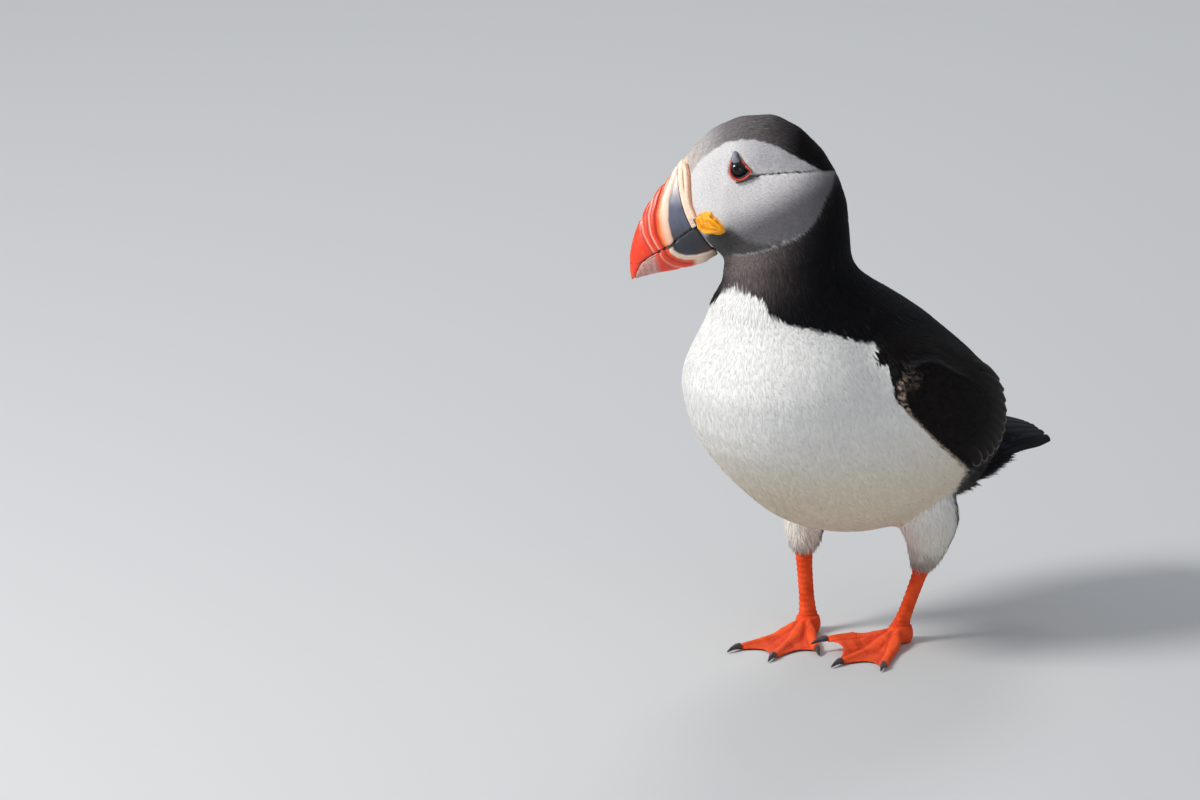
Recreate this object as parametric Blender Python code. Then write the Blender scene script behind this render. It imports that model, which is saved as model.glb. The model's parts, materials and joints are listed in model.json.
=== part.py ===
"""Atlantic puffin, adult in summer plumage, standing still with its head turned to its right.

A life-size display model.  The bird faces -Y and its left side is +X.  The working frame has its
origin on the floor between the ankles; the last step moves the origin to the middle of the
underside of the model's box.  All sizes below are millimetres, turned to metres when a mesh is made.
"""

import math

import bmesh
import bpy
from mathutils import Matrix, Vector

MM = 0.001
GAP = 0.3            # air left between two pieces that meet

# --- driving sizes -------------------------------------------------------------------------------
SKULL = Vector((-7.0, -40.8, 178.4))   # middle of the skull
HEAD_TURN = 45.0                       # degrees, head turned to the bird's right
HEAD_ROLL = 8.0                        # degrees, crown leaning to the bird's right
RING = 28                              # points round the body, the neck and the head

# The head is a fan of sections that swings from the bill's base over the crown to the neck.
# Each row: upper edge (forward, up), lower edge (forward, up), half width, forward bow.
HEAD_SECTIONS = (
    ((29.8, 9.4), (16.6, -25.0), 8.1, 4.2),
    ((25.2, 15.9), (15.5, -25.9), 12.2, 4.5),
    ((18.7, 21.0), (15.1, -26.6), 15.2, 3.9),
    ((8.9, 25.2), (14.9, -27.1), 17.6, 2.8),
    ((-3.0, 25.8), (14.8, -27.6), 18.5, 1.4),
    ((-12.8, 21.8), (14.8, -28.1), 18.9, 0.0),
    ((-21.2, 13.6), (14.9, -28.5), 19.2, 0.0),
    ((-27.1, 3.8), (15.1, -29.2), 19.6, 0.0),
    ((-30.3, -5.7), (15.4, -30.1), 20.1, 0.0),
    ((-31.2, -15.3), (15.8, -31.2), 20.7, 0.0),
    ((-31.9, -23.9), (16.4, -32.4), 21.7, 0.0),
)

# The trunk's level sections, top to bottom: height, middle in y, half width, half depth.
TRUNK_SECTIONS = (
    (137.0, -29.7, 29.0, 35.0),
    (128.0, -22.8, 36.0, 42.8),
    (112.0, -17.4, 43.0, 58.1),
    (101.0, -11.5, 45.5, 64.5),
    (86.0, -5.1, 45.5, 65.1),
    (72.0, -0.3, 43.0, 58.8),
    (60.0, 1.5, 37.0, 48.0),
    (50.0, 1.0, 27.5, 34.5),
    (44.5, 0.5, 16.5, 20.0),
    (42.6, 0.0, 6.0, 7.0),
)
TRUNK_STEPS = 15

# The folded wing lies on the trunk: turn about the trunk from the breast (degrees) and height.
WING_LOWER_EDGE = ((79.5, 121), (82.5, 113.5), (80.5, 104.5), (83.5, 96.5), (92.5, 82), (105.5, 70.8),
                   (126, 66.5), (146, 67.5))
WING_UPPER_EDGE = (
    (88, 126), (106, 125), (124, 118), (139, 109), (149, 98), (155, 87), (157, 77), (154, 70),
)
WING_COLUMNS = 15
WING_ROWS = 9

# The tail, root to tip: y, height, half width, half thickness.
TAIL_SECTIONS = (
    (28.0, 60.0, 20.0, 11.5),
    (42.0, 63.0, 22.0, 12.0),
    (56.0, 65.5, 21.0, 10.3),
    (68.0, 66.8, 19.5, 6.5),
    (79.0, 65.6, 17.0, 4.0),
    (88.5, 64.4, 14.0, 2.5),
    (94.5, 63.4, 10.0, 1.5),
)
TAIL_ROOT_DROOP = 2.2        # how much lower the tail's sides are than its middle
TAIL_TIP_DROOP = 3.6

# The bill in the head's sagittal plane (forward, up), base to tip.
CULMEN = ((30.8, 9.4), (34.7, 3.6), (39.2, -1.7), (43.0, -7.3), (45.8, -13.4), (47.9, -19.5),
          (49.2, -26.7), (48.6, -34.7))
GAPE = ((25.2, -13.7), (28.8, -16.3), (32.1, -18.9), (35.1, -21.3), (38.7, -23.8), (42.4, -25.9),
        (45.6, -28.9), (47.5, -34.0))
GONYS = ((16.7, -25.2), (20.3, -27.6), (24.6, -29.1), (29.6, -30.3), (34.5, -31.3), (39.4, -32.1),
         (44.0, -33.3), (46.6, -34.1))
BILL_HALF_WIDTHS = (7.1, 6.9, 6.5, 5.9, 5.1, 4.1, 2.9, 1.1)
GAPE_AT_BASE = -0.29        # where the gape meets the bill's base, from 1 (top) to -1 (bottom)
CERE_SHARE = 0.055          # share of the bill's length that the cere takes
GAPE_SLIT = 0.5

EYE_PLACE = (10.2, 8.6)     # forward, up in the head's frame
EYE_RADIUS = 4.2
EYE_VISIBLE_RADIUS = 2.9
ROSETTE_PLACE = (20.2, -12.3)

# The legs, from the thigh's root to the ankle: x, y, height, radius.
THIGHS = {
    "left": ((18.5, 10.5, 62, 16.0), (23, 13.6, 50, 14.0), (24.5, 14, 39, 9.8), (22.8, 12.2, 28.6, 5.2)),
    "right": ((-16, 0, 62, 13.0), (-20, -2, 50, 11.6), (-21, -4.5, 39.5, 9.0), (-20.2, -6, 31.0, 5.4)),
}
ANKLES = {"left": (16.5, 7.5), "right": (-17.0, -7.0)}
ANKLE_HEIGHT = 6.6
TARSUS_HALF_WIDTH = 2.7
TARSUS_HALF_DEPTH = 3.7
SHANK_WAIST = ((24.0, 0.2, 0.92), (13.0, 0.7, 0.9))   # height, share of the way to the ankle, slimness

# Toes: heading in degrees from -Y towards +X, length to the claw.  Outer, middle, inner.
TOES = {
    "left": ((34, 35.0), (9, 37.5), (-20, 30.0)),
    "right": ((-1, 35.0), (25, 37.5), (51, 27.0)),
}
TOE_NAMES = ("outer", "middle", "inner")
INNER_TOE_LIFT = {"left": 3.5, "right": 0.0}   # the left inner toe lies over the right foot's web
TOE_START = 4.2
TOE_HALF_WIDTH = 2.1
CLAW_LENGTH = 6.8
# Across a toe: share of its half width, how far up its crown, and the height of its sole.
TOE_SECTION = ((-1.0, 0.0, 0.45), (-0.55, 0.85, 0.0), (0.0, 1.0, 0.0), (0.55, 0.85, 0.0), (1.0, 0.0, 0.45))
# Along a claw: share of its length, height, radius.
CLAW_SECTIONS = (
    (0.0, 1.55, 1.35), (0.3, 1.75, 1.2), (0.6, 1.45, 0.85), (0.85, 0.9, 0.5), (1.0, 0.55, 0.22),
)


# --- small tools ---------------------------------------------------------------------------------
def spread(rows, t):
    """A smooth value at t (0 to 1) along rows of numbers, through every row."""
    count = len(rows) - 1
    place = min(max(t, 0.0), 1.0) * count
    i = min(int(place), count - 1)
    f = place - i
    before, start, end, after = (rows[max(i - 1, 0)], rows[i], rows[i + 1], rows[min(i + 2, count)])
    return [
        0.5 * (2 * b + (c - a) * f + (2 * a - 5 * b + 4 * c - d) * f * f + (3 * b - a - 3 * c + d) * f ** 3)
        for a, b, c, d in zip(before, start, end, after)
    ]


def rounded(angle, power):
    """Cosine and sine of an angle, squared off when power is under 1."""
    c, s = math.cos(angle), math.sin(angle)
    return math.copysign(abs(c) ** power, c), math.copysign(abs(s) ** power, s)


def ease(t):
    t = min(max(t, 0.0), 1.0)
    return t * t * (3 - 2 * t)


def head_to_world(side, forward, up):
    """A point given to the head's left, forward of and above the skull's middle."""
    turn, roll = math.radians(HEAD_TURN), math.radians(HEAD_ROLL)
    level_left = Vector((math.cos(turn), -math.sin(turn), 0))
    ahead = Vector((-math.sin(turn), -math.cos(turn), 0))
    to_left = level_left * math.cos(roll) + Vector((0, 0, math.sin(roll)))
    upward = Vector((0, 0, math.cos(roll))) - level_left * math.sin(roll)
    return SKULL + to_left * side + ahead * forward + upward * up


def material(name, colour, roughness):
    mat = bpy.data.materials.new(name)
    mat.use_nodes = True
    shader = mat.node_tree.nodes["Principled BSDF"]
    shader.inputs["Base Color"].default_value = (*colour, 1.0)
    shader.inputs["Roughness"].default_value = roughness
    shader.inputs["Metallic"].default_value = 0.0
    return mat


def loft(bm, rings):
    """A closed solid through a row of rings.  Point k of a ring faces point n-k across it."""
    loops = []
    for ring in rings:
        verts = [bm.verts.new(Vector(p) * MM) for p in ring]
        edges = [bm.edges.new((verts[k - 1], verts[k])) for k in range(len(verts))]
        loops.append((verts, edges))
    for (_, first), (_, second) in zip(loops, loops[1:]):
        bmesh.ops.bridge_loops(bm, edges=first + second)
    for verts, _ in (loops[0], loops[-1]):
        count = len(verts)
        for k in range(count // 2):
            corners = [verts[k], verts[k + 1], verts[(count - k - 1) % count], verts[(count - k) % count]]
            bm.faces.new(list(dict.fromkeys(corners)))
    bmesh.ops.recalc_face_normals(bm, faces=bm.faces)


def make(name, mat, build, sharp=35.0):
    """One named object whose mesh is filled by build(bm)."""
    bm = bmesh.new()
    build(bm)
    bmesh.ops.recalc_face_normals(bm, faces=bm.faces)
    mesh = bpy.data.meshes.new(name)
    bm.to_mesh(mesh)
    bm.free()
    mesh.shade_smooth()
    mesh.set_sharp_from_angle(angle=math.radians(sharp))
    mesh.materials.append(mat)
    obj = bpy.data.objects.new(name, mesh)
    bpy.context.collection.objects.link(obj)
    return obj


def make_loft(name, mat, rings, sharp=35.0):
    return make(name, mat, lambda bm: loft(bm, rings), sharp)


def cutter_of(obj, grow=GAP):
    """A hidden copy of a piece, grown on all sides, for cutting a seat in its neighbour."""
    bm = bmesh.new()
    depsgraph = bpy.context.evaluated_depsgraph_get()
    bm.from_object(obj, depsgraph)
    bm.normal_update()
    moves = [v.normal * v.calc_shell_factor() * grow * MM for v in bm.verts]
    for v, move in zip(bm.verts, moves):
        v.co += move
    mesh = bpy.data.meshes.new("cut_" + obj.name)
    bm.to_mesh(mesh)
    bm.free()
    cut = bpy.data.objects.new("cut_" + obj.name, mesh)
    bpy.context.collection.objects.link(cut)
    cut.hide_render = True
    cut.display_type = "WIRE"
    return cut


def combine(obj, tool, operation):
    step = obj.modifiers.new(operation.lower() + "_" + tool.name, "BOOLEAN")
    step.operation = operation
    step.solver = "EXACT"
    step.object = tool


# --- head, neck and trunk ------------------------------------------------------------------------
def head_ring(row):
    upper, lower, half_width, bow = row
    upper, lower = Vector(upper), Vector(lower)
    middle = (upper + lower) / 2
    half = (upper - lower) / 2
    outward = Vector((half.y, -half.x)).normalized()
    ring = []
    for k in range(RING):
        c, s = rounded(2 * math.pi * k / RING, 0.92)
        place = middle - half * c + outward * bow * (1 - c * c)
        ring.append(head_to_world(half_width * s, place.x, place.y))
    return ring


def trunk_point(turn, height, out=0.0):
    """A point on the trunk: turn in degrees from the breast to the bird's left, and how far outside."""
    rows = TRUNK_SECTIONS
    low, high = 0.0, 1.0
    for _ in range(24):
        t = (low + high) / 2
        if spread(rows, t)[0] > height:
            low = t
        else:
            high = t
    level, middle, half_width, half_depth = spread(rows, (low + high) / 2)
    c, s = rounded(math.radians(turn), 0.95)
    point = Vector((half_width * s, middle - half_depth * c, level))
    outward = Vector((s / half_width, -c / half_depth, 0)).normalized()
    return point + outward * out


def trunk_ring(t):
    level, middle, half_width, half_depth = spread(TRUNK_SECTIONS, t)
    ring = []
    for k in range(RING):
        c, s = rounded(2 * math.pi * k / RING, 0.95)
        ring.append(Vector((half_width * s, middle - half_depth * c, level)))
    return ring


def neck_rings(head_rings, trunk_rings, steps):
    """Rings that leave the head's last ring and arrive at the trunk's first one without a kink."""
    start, end = head_rings[-1], trunk_rings[0]
    leave = [(b - a) * 1.6 for a, b in zip(head_rings[-2], head_rings[-1])]
    arrive = [(b - a) * 1.6 for a, b in zip(trunk_rings[0], trunk_rings[1])]
    rings = []
    for step in range(steps + 1):
        f = 0.02 + 0.96 * step / steps
        h0, h1 = 2 * f ** 3 - 3 * f * f + 1, f ** 3 - 2 * f * f + f
        h2, h3 = -2 * f ** 3 + 3 * f * f, f ** 3 - f * f
        rings.append([a * h0 + u * h1 + b * h2 + v * h3 for a, b, u, v in zip(start, end, leave, arrive)])
    return rings


def make_body(feathers_dark, feathers_white, feathers_grey):
    steps = 2 * (len(HEAD_SECTIONS) - 1)
    flat_rows = [(*upper, *lower, width, bow) for upper, lower, width, bow in HEAD_SECTIONS]
    head_rings = []
    for step in range(steps + 1):
        a, b, c, d, width, bow = spread(flat_rows, step / steps)
        head_rings.append(head_ring(((a, b), (c, d), width, bow)))
    # the throat's end of the fan is close-set, so every second ring is enough past the brow
    head_rings = head_rings[:5] + head_rings[6::2]
    trunk_rings = [trunk_ring(step / TRUNK_STEPS) for step in range(TRUNK_STEPS + 1)]
    head = make_loft("head", feathers_grey, head_rings)
    neck = make_loft("neck", feathers_dark, neck_rings(head_rings, trunk_rings, 4))
    trunk = make_loft("trunk", feathers_white, trunk_rings)
    return head, neck, trunk


# --- wings and tail ------------------------------------------------------------------------------
def make_wing(name, side, mat):
    """A shell that lies on the trunk, thickest along the arm and thin at the feather tips."""
    rings = []
    for column in range(WING_COLUMNS + 1):
        t = column / WING_COLUMNS
        lower, upper = spread(WING_LOWER_EDGE, t), spread(WING_UPPER_EDGE, t)
        outer, inner = [], []
        for row in range(WING_ROWS + 1):
            f = row / WING_ROWS
            turn, height = (a + (b - a) * f for a, b in zip(lower, upper))
            fullness = math.sin(math.pi * min(max(f, 0.04), 0.96)) ** 0.5 * (1 - ease(t * 1.1 - 0.1) * 0.5)
            thickness = 1.0 + 2.2 * fullness * ease(t * 5 + 0.3)
            outer.append(trunk_point(turn, height, 0.6 + thickness))
            inner.append(trunk_point(turn, height, 0.6))
        rings.append([Vector((p.x * side, p.y, p.z)) for p in outer + inner[::-1]])
    return make(name, mat, lambda bm: shell_loft(bm, rings))


def shell_loft(bm, rings):
    """A loft of flat rings whose first half is the outside and second half the inside."""
    loops = []
    for ring in rings:
        verts = [bm.verts.new(Vector(p) * MM) for p in ring]
        edges = [bm.edges.new((verts[k - 1], verts[k])) for k in range(len(verts))]
        loops.append((verts, edges))
    for (first, _), (second, _) in zip(loops, loops[1:]):
        for k in range(len(first)):
            bm.faces.new((first[k - 1], first[k], second[k], second[k - 1]))
    for verts, _ in (loops[0], loops[-1]):
        count = len(verts)
        for k in range(count // 2 - 1):
            bm.faces.new((verts[k], verts[k + 1], verts[count - k - 2], verts[count - k - 1]))


def make_tail(mat):
    """A short arched fan, its sides lower than its middle."""
    rings = []
    steps, sides = 8, 20
    for step in range(steps + 1):
        share = step / steps
        y, height, half_width, half_thick = spread(TAIL_SECTIONS, share)
        droop = TAIL_ROOT_DROOP + (TAIL_TIP_DROOP - TAIL_ROOT_DROOP) * ease(share)
        ring = []
        for k in range(sides):
            c, s = rounded(2 * math.pi * k / sides, 0.9)
            ring.append(Vector((half_width * s, y, height - half_thick * c - droop * s * s)))
        rings.append(ring)
    return make_loft("tail", mat, rings)


# --- bill, eyes and face -------------------------------------------------------------------------
def base_curve(v, ahead):
    """The bill's base in the head's sagittal plane, v from 1 at the top to -1 at the chin."""
    upper, lower, _, bow = HEAD_SECTIONS[0]
    upper, lower = Vector(upper), Vector(lower)
    half = (upper - lower) / 2
    outward = Vector((half.y, -half.x)).normalized()
    return (upper + lower) / 2 + half * v + outward * (bow * (1 - v * v) + ahead)


def bill_rings(edge, from_v, to_v, start, end, steps, extra, lower):
    """Sections of one half of the bill, from its ridge (edge) to the gape line."""
    rows = 7
    rings = []
    for step in range(steps + 1):
        t = start + (end - start) * step / steps
        ridge, gape = Vector(spread(edge, t)), Vector(spread(GAPE, t))
        half_width = spread([(w,) for w in BILL_HALF_WIDTHS], t)[0] + extra
        base_ridge, base_gape = Vector(edge[0]), Vector(GAPE[0])
        left = []
        for row in range(rows + 1):
            q = row / rows
            straight = ridge.lerp(gape, q)
            curl = base_curve(from_v + (to_v - from_v) * q, GAP + 0.15) - base_ridge.lerp(base_gape, q)
            place = straight + curl * max(1 - t, 0) ** 1.5
            if lower:
                width = half_width * (0.25 + 0.75 * math.sin(q * math.pi / 2) ** 0.8)
                place.y -= GAPE_SLIT * q * 0.5
            else:
                width = half_width * (0.16 + 0.84 * math.sin(q * math.pi / 2) ** 0.85)
                place.y += GAPE_SLIT * q * 0.5
            left.append((width, place.x, place.y))
        right = [(-w, x, y) for w, x, y in left]
        rings.append([head_to_world(*p) for p in left + right[::-1]])
    return rings


def make_bill(red, cream):
    upper = bill_rings(CULMEN, 1.0, GAPE_AT_BASE, CERE_SHARE + 0.012, 1.0, 12, 0.0, False)
    cere = bill_rings(CULMEN, 1.0, GAPE_AT_BASE, 0.0, CERE_SHARE, 1, 0.5, False)
    lower = bill_rings(GONYS, -1.0, GAPE_AT_BASE, 0.0, 1.0, 12, -0.1, True)
    return [
        make("bill_upper", red, lambda bm: shell_loft(bm, upper), 40),
        make("bill_cere", cream, lambda bm: shell_loft(bm, cere), 40),
        make("bill_lower", red, lambda bm: shell_loft(bm, lower), 40),
    ]


def face_frame(head, side, forward, up, tilt=0.0):
    """A place on the face, with axes along it to the front, up it and out of it."""
    start, toward = head_to_world(side * 60, forward, up), head_to_world(0, forward, up)
    _, place, out, _ = head.ray_cast(start * MM, (toward - start).normalized())
    ahead = head_to_world(0, 1, 0) - SKULL
    ahead = (ahead - out * ahead.dot(out)).normalized()
    rise = out.cross(ahead) if side < 0 else ahead.cross(out)
    turn = math.radians(tilt)
    along = ahead * math.cos(turn) + rise * math.sin(turn)
    across = rise * math.cos(turn) - ahead * math.sin(turn)
    return place / MM, along, across, out


def pebble(bm, place, axes, radii, segments=14, rings=8):
    """An ellipsoid with its three radii along three axes."""
    turn = Matrix([[axis[i] * radius * MM for axis, radius in zip(axes, radii)] for i in range(3)]).to_4x4()
    turn.translation = place * MM
    bmesh.ops.create_uvsphere(bm, u_segments=segments, v_segments=rings, radius=1.0, matrix=turn)


def make_face(head, side_name, side, dark, horn, orange):
    """The eye, its two horn plates and the rosette at the gape, on one side of the head."""
    forward, up = EYE_PLACE
    depth = math.sqrt(EYE_RADIUS ** 2 - EYE_VISIBLE_RADIUS ** 2)
    eye_at, *eye_axes = face_frame(head, side, forward, up)
    above_at, *above_axes = face_frame(head, side, forward + 1.3, up + 4.7, tilt=-12.0)
    below_at, *below_axes = face_frame(head, side, forward - 2.2, up - 3.5, tilt=-20.0)
    rosette_at, *rosette_axes = face_frame(head, side, *ROSETTE_PLACE, tilt=24.0)
    shapes = (
        ("eye_", dark, eye_at - eye_axes[2] * depth, eye_axes, (EYE_RADIUS,) * 3, 16, 10),
        ("eye_plate_upper_", horn, above_at, above_axes, (1.5, 2.2, 1.1), 10, 6),
        ("eye_plate_lower_", horn, below_at, below_axes, (4.2, 0.9, 1.0), 12, 6),
        ("rosette_", orange, rosette_at, rosette_axes, (5.2, 4.1, 2.0), 14, 8),
    )
    return [
        make(name + side_name, mat, lambda bm: pebble(bm, place, axes, radii, segments, rings), 60)
        for name, mat, place, axes, radii, segments, rings in shapes
    ]


# --- legs and feet -------------------------------------------------------------------------------
def tube_rings(rows, steps, sides, squash=1.0):
    rings = []
    for step in range(steps + 1):
        x, y, height, radius = spread(rows, step / steps)
        turns = [2 * math.pi * k / sides for k in range(sides)]
        rings.append([
            Vector((x + radius * squash * math.sin(turn), y - radius * math.cos(turn), height))
            for turn in turns
        ])
    return rings


def make_leg(side_name, skin, feathers):
    thigh_rows = THIGHS[side_name]
    thigh = make_loft("thigh_" + side_name, feathers, tube_rings(thigh_rows, 5, 14))
    top = thigh_rows[-1]
    x, y = ANKLES[side_name]
    depth = TARSUS_HALF_DEPTH
    squash = TARSUS_HALF_WIDTH / TARSUS_HALF_DEPTH
    shank = [(top[0], top[1], top[2] - GAP, depth * 1.05)]
    for height, forward, slimness in SHANK_WAIST:
        here = top[0] + (x - top[0]) * forward, top[1] + (y - top[1]) * forward
        shank.append((*here, height, depth * slimness))
    shank.append((x, y, ANKLE_HEIGHT + GAP, depth * 1.08))
    tarsus = make_loft("tarsus_" + side_name, skin, tube_rings(shank, 6, 12, squash))
    return thigh, tarsus


def toe_place(side_name, toe, distance, sideways):
    """A point on the floor under a toe, so far from the ankle and to the side of its middle line."""
    x, y = ANKLES[side_name]
    heading = math.radians(TOES[side_name][toe][0])
    ahead = Vector((math.sin(heading), -math.cos(heading), 0))
    across = Vector((-ahead.y, ahead.x, 0))
    if side_name == "left":
        across.negate()
    return Vector((x, y, 0)) + ahead * distance + across * sideways


def toe_half_width(distance, length):
    """Half a toe's width: slim at the root, full 7 mm on, and a quarter slimmer at the claw."""
    root = 0.38 + 0.62 * ease((distance - TOE_START) / 7)
    return TOE_HALF_WIDTH * root * (1 - 0.25 * ease(distance / length))


def toe_lift(side_name, toe, share):
    return INNER_TOE_LIFT[side_name] * ease(share * 1.5) if toe == 2 else 0.0


def foot_rings(side_name):
    """Rings across the whole foot, over the three toes and two webs, from the ankle to the edge."""
    rings = []
    steps = 7
    for step in range(steps + 1):
        share = step / steps
        top, bottom = [], []
        for toe in range(3):
            length = TOES[side_name][toe][1]
            distance = TOE_START + (length - TOE_START) * share
            half = toe_half_width(distance, length)
            lift = toe_lift(side_name, toe, share)
            ridge = 2.9 + 3.1 * (1 - ease(share * 2.2)) - 0.5 * share
            web = 1.25 + 3.6 * (1 - ease(share * 1.7))
            for k, crown, sole in TOE_SECTION:
                place = toe_place(side_name, toe, distance, k * half)
                top.append(place + Vector((0, 0, web + (ridge - web) * crown + lift)))
                bottom.append(place + Vector((0, 0, sole + lift)))
            if toe == 2:
                break
            reach = TOES[side_name][toe + 1][1]
            for f in (0.25, 0.5, 0.75):
                shrink = 1 - 0.13 * share * 4 * f * (1 - f)
                near = toe_place(side_name, toe, distance * shrink, half)
                distance_2 = TOE_START + (reach - TOE_START) * share
                far = toe_place(side_name, toe + 1, distance_2 * shrink, -toe_half_width(distance_2, reach))
                place = near.lerp(far, f)
                lift = toe_lift(side_name, toe + 1, share) * f * (2 - f)
                top.append(place + Vector((0, 0, web - 0.15 + lift)))
                bottom.append(place + Vector((0, 0, 0.5 + lift)))
        rings.append(top + bottom[::-1])
    return rings


def make_foot(side_name, skin, horn):
    rings = foot_rings(side_name)
    foot = make("foot_" + side_name, skin, lambda bm: shell_loft(bm, rings), 50)
    x, y = ANKLES[side_name]
    knuckle = ((x, y, 0.0, 4.0), (x, y, 2.0, 4.9), (x, y, 4.6, 4.9), (x, y, ANKLE_HEIGHT, 4.1))
    hub = make_loft("hub_" + side_name, skin, tube_rings(knuckle, 4, 14, 0.96))
    hub.hide_render = True
    hub.display_type = "WIRE"
    combine(foot, hub, "UNION")
    for toe, toe_name in enumerate(TOE_NAMES):
        length = TOES[side_name][toe][1]
        lift = INNER_TOE_LIFT[side_name] if toe == 2 else 0.0
        claw = []
        for share, height, radius in CLAW_SECTIONS:
            middle = toe_place(side_name, toe, length + GAP + CLAW_LENGTH * share, 0.0)
            across = (toe_place(side_name, toe, length, 1.0) - toe_place(side_name, toe, length, 0.0))
            droop = -0.6 * share * lift / 3.5
            claw.append([middle + across * radius * 0.85 * math.sin(2 * math.pi * k / 8)
                         + Vector((0, 0, height + lift + droop - radius * math.cos(2 * math.pi * k / 8)))
                         for k in range(8)])
        make_loft("claw_" + side_name + "_" + toe_name, horn, claw)
    return foot


# --- the whole bird ------------------------------------------------------------------------------
def seat(piece, *neighbours):
    """Cut a piece back to leave the gap to each neighbour."""
    for neighbour in neighbours:
        combine(piece, cutter_of(neighbour), "DIFFERENCE")


def stand_on_origin():
    """Move the model so that the middle of its box's underside is the origin."""
    bpy.context.view_layer.update()
    depsgraph = bpy.context.evaluated_depsgraph_get()
    corners = []
    for obj in bpy.data.objects:
        if obj.type == "MESH" and not obj.hide_render:
            evaluated = obj.evaluated_get(depsgraph)
            corners += [evaluated.matrix_world @ v.co for v in evaluated.data.vertices]
    low = Vector([min(c[i] for c in corners) for i in range(3)])
    high = Vector([max(c[i] for c in corners) for i in range(3)])
    shift = Vector((-(low.x + high.x) / 2, -(low.y + high.y) / 2, -low.z))
    for obj in bpy.data.objects:
        obj.location = shift


def main():
    for obj in list(bpy.data.objects):
        bpy.data.objects.remove(obj, do_unlink=True)

    black = material("black_feathers", (0.012, 0.010, 0.010), 0.8)
    white = material("white_feathers", (0.80, 0.80, 0.78), 0.85)
    grey = material("face_feathers", (0.62, 0.62, 0.63), 0.85)
    red = material("bill_red", (0.72, 0.10, 0.03), 0.45)
    cream = material("bill_cream", (0.80, 0.62, 0.38), 0.5)
    orange = material("gape_skin", (0.90, 0.40, 0.01), 0.5)
    legs = material("leg_skin", (0.80, 0.13, 0.02), 0.5)
    claws = material("claw_horn", (0.04, 0.03, 0.035), 0.4)
    eyes = material("eye_dark", (0.02, 0.012, 0.01), 0.1)
    plates = material("eye_plate_horn", (0.08, 0.09, 0.12), 0.5)

    head, neck, trunk = make_body(black, white, grey)
    wings = [make_wing("wing_left", 1, black), make_wing("wing_right", -1, black)]
    tail = make_tail(black)
    bill_pieces = make_bill(red, cream)
    bpy.context.view_layer.update()
    for side_name, side in (("left", 1), ("right", -1)):
        eye, upper_plate, lower_plate, rosette = make_face(head, side_name, side, eyes, plates, orange)
        seat(head, eye)
        seat(upper_plate, head, eye)
        seat(lower_plate, head, eye)
        seat(rosette, head, *bill_pieces)
        thigh, _ = make_leg(side_name, legs, white)
        seat(thigh, trunk)
        make_foot(side_name, legs, claws)
    seat(tail, trunk, *wings)
    stand_on_origin()


main()
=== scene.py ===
"""Looks of the standing Atlantic puffin: skin, feathers, bill, eyes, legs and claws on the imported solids."""

import json
import math

import bmesh
import bpy
import numpy as np
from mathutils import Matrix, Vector
from mathutils.bvhtree import BVHTree

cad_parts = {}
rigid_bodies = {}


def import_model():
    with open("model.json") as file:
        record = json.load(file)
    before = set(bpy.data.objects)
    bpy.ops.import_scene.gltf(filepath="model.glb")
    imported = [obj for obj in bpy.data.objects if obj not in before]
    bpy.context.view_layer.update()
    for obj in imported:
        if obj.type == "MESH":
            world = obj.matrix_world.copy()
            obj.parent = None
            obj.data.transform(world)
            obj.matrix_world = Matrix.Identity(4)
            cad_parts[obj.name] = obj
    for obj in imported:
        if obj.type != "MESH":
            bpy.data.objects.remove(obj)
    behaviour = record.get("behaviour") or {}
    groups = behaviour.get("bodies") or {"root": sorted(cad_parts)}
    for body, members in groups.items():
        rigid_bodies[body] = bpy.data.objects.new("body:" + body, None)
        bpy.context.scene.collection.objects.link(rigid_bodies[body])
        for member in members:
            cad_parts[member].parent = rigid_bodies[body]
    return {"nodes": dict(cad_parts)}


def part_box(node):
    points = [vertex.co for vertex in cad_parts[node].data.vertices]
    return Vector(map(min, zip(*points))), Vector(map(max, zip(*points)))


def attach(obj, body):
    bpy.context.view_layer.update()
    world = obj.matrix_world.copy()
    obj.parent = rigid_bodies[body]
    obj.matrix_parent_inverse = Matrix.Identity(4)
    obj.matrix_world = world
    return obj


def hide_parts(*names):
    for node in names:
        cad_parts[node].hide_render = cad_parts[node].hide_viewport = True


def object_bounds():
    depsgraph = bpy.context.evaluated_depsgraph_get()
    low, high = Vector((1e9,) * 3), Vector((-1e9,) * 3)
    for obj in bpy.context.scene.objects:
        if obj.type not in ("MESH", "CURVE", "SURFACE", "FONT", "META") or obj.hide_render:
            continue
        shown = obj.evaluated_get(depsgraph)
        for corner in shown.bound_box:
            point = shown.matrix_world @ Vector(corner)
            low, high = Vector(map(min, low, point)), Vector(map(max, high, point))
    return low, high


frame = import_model()
CAD_LOW, CAD_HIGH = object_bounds()
NODES = frame["nodes"]
MM = 0.001
FULL_TURN = 2 * math.pi
SIDES = (("left", 1.0), ("right", -1.0))
WINGS, THIGHS = ("wing_left", "wing_right"), ("thigh_left", "thigh_right")
rng = np.random.default_rng(11)

# --- the bird's own places, in millimetres --------------------------------------------------------
MIDDLE = (CAD_LOW + CAD_HIGH) / 2 / MM
AXIS = np.array([MIDDLE.x, MIDDLE.y - 7.83, CAD_LOW.z / MM])  # upright line between the ankles
HEAD_TURN, HEAD_ROLL = math.radians(45), math.radians(8)
EYE_AHEAD, EYE_UP = 10.2, 8.6
RING_UP = EYE_UP - 0.6
EYE_RADIUS, EYEBALL = 4.2, 3.5
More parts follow.
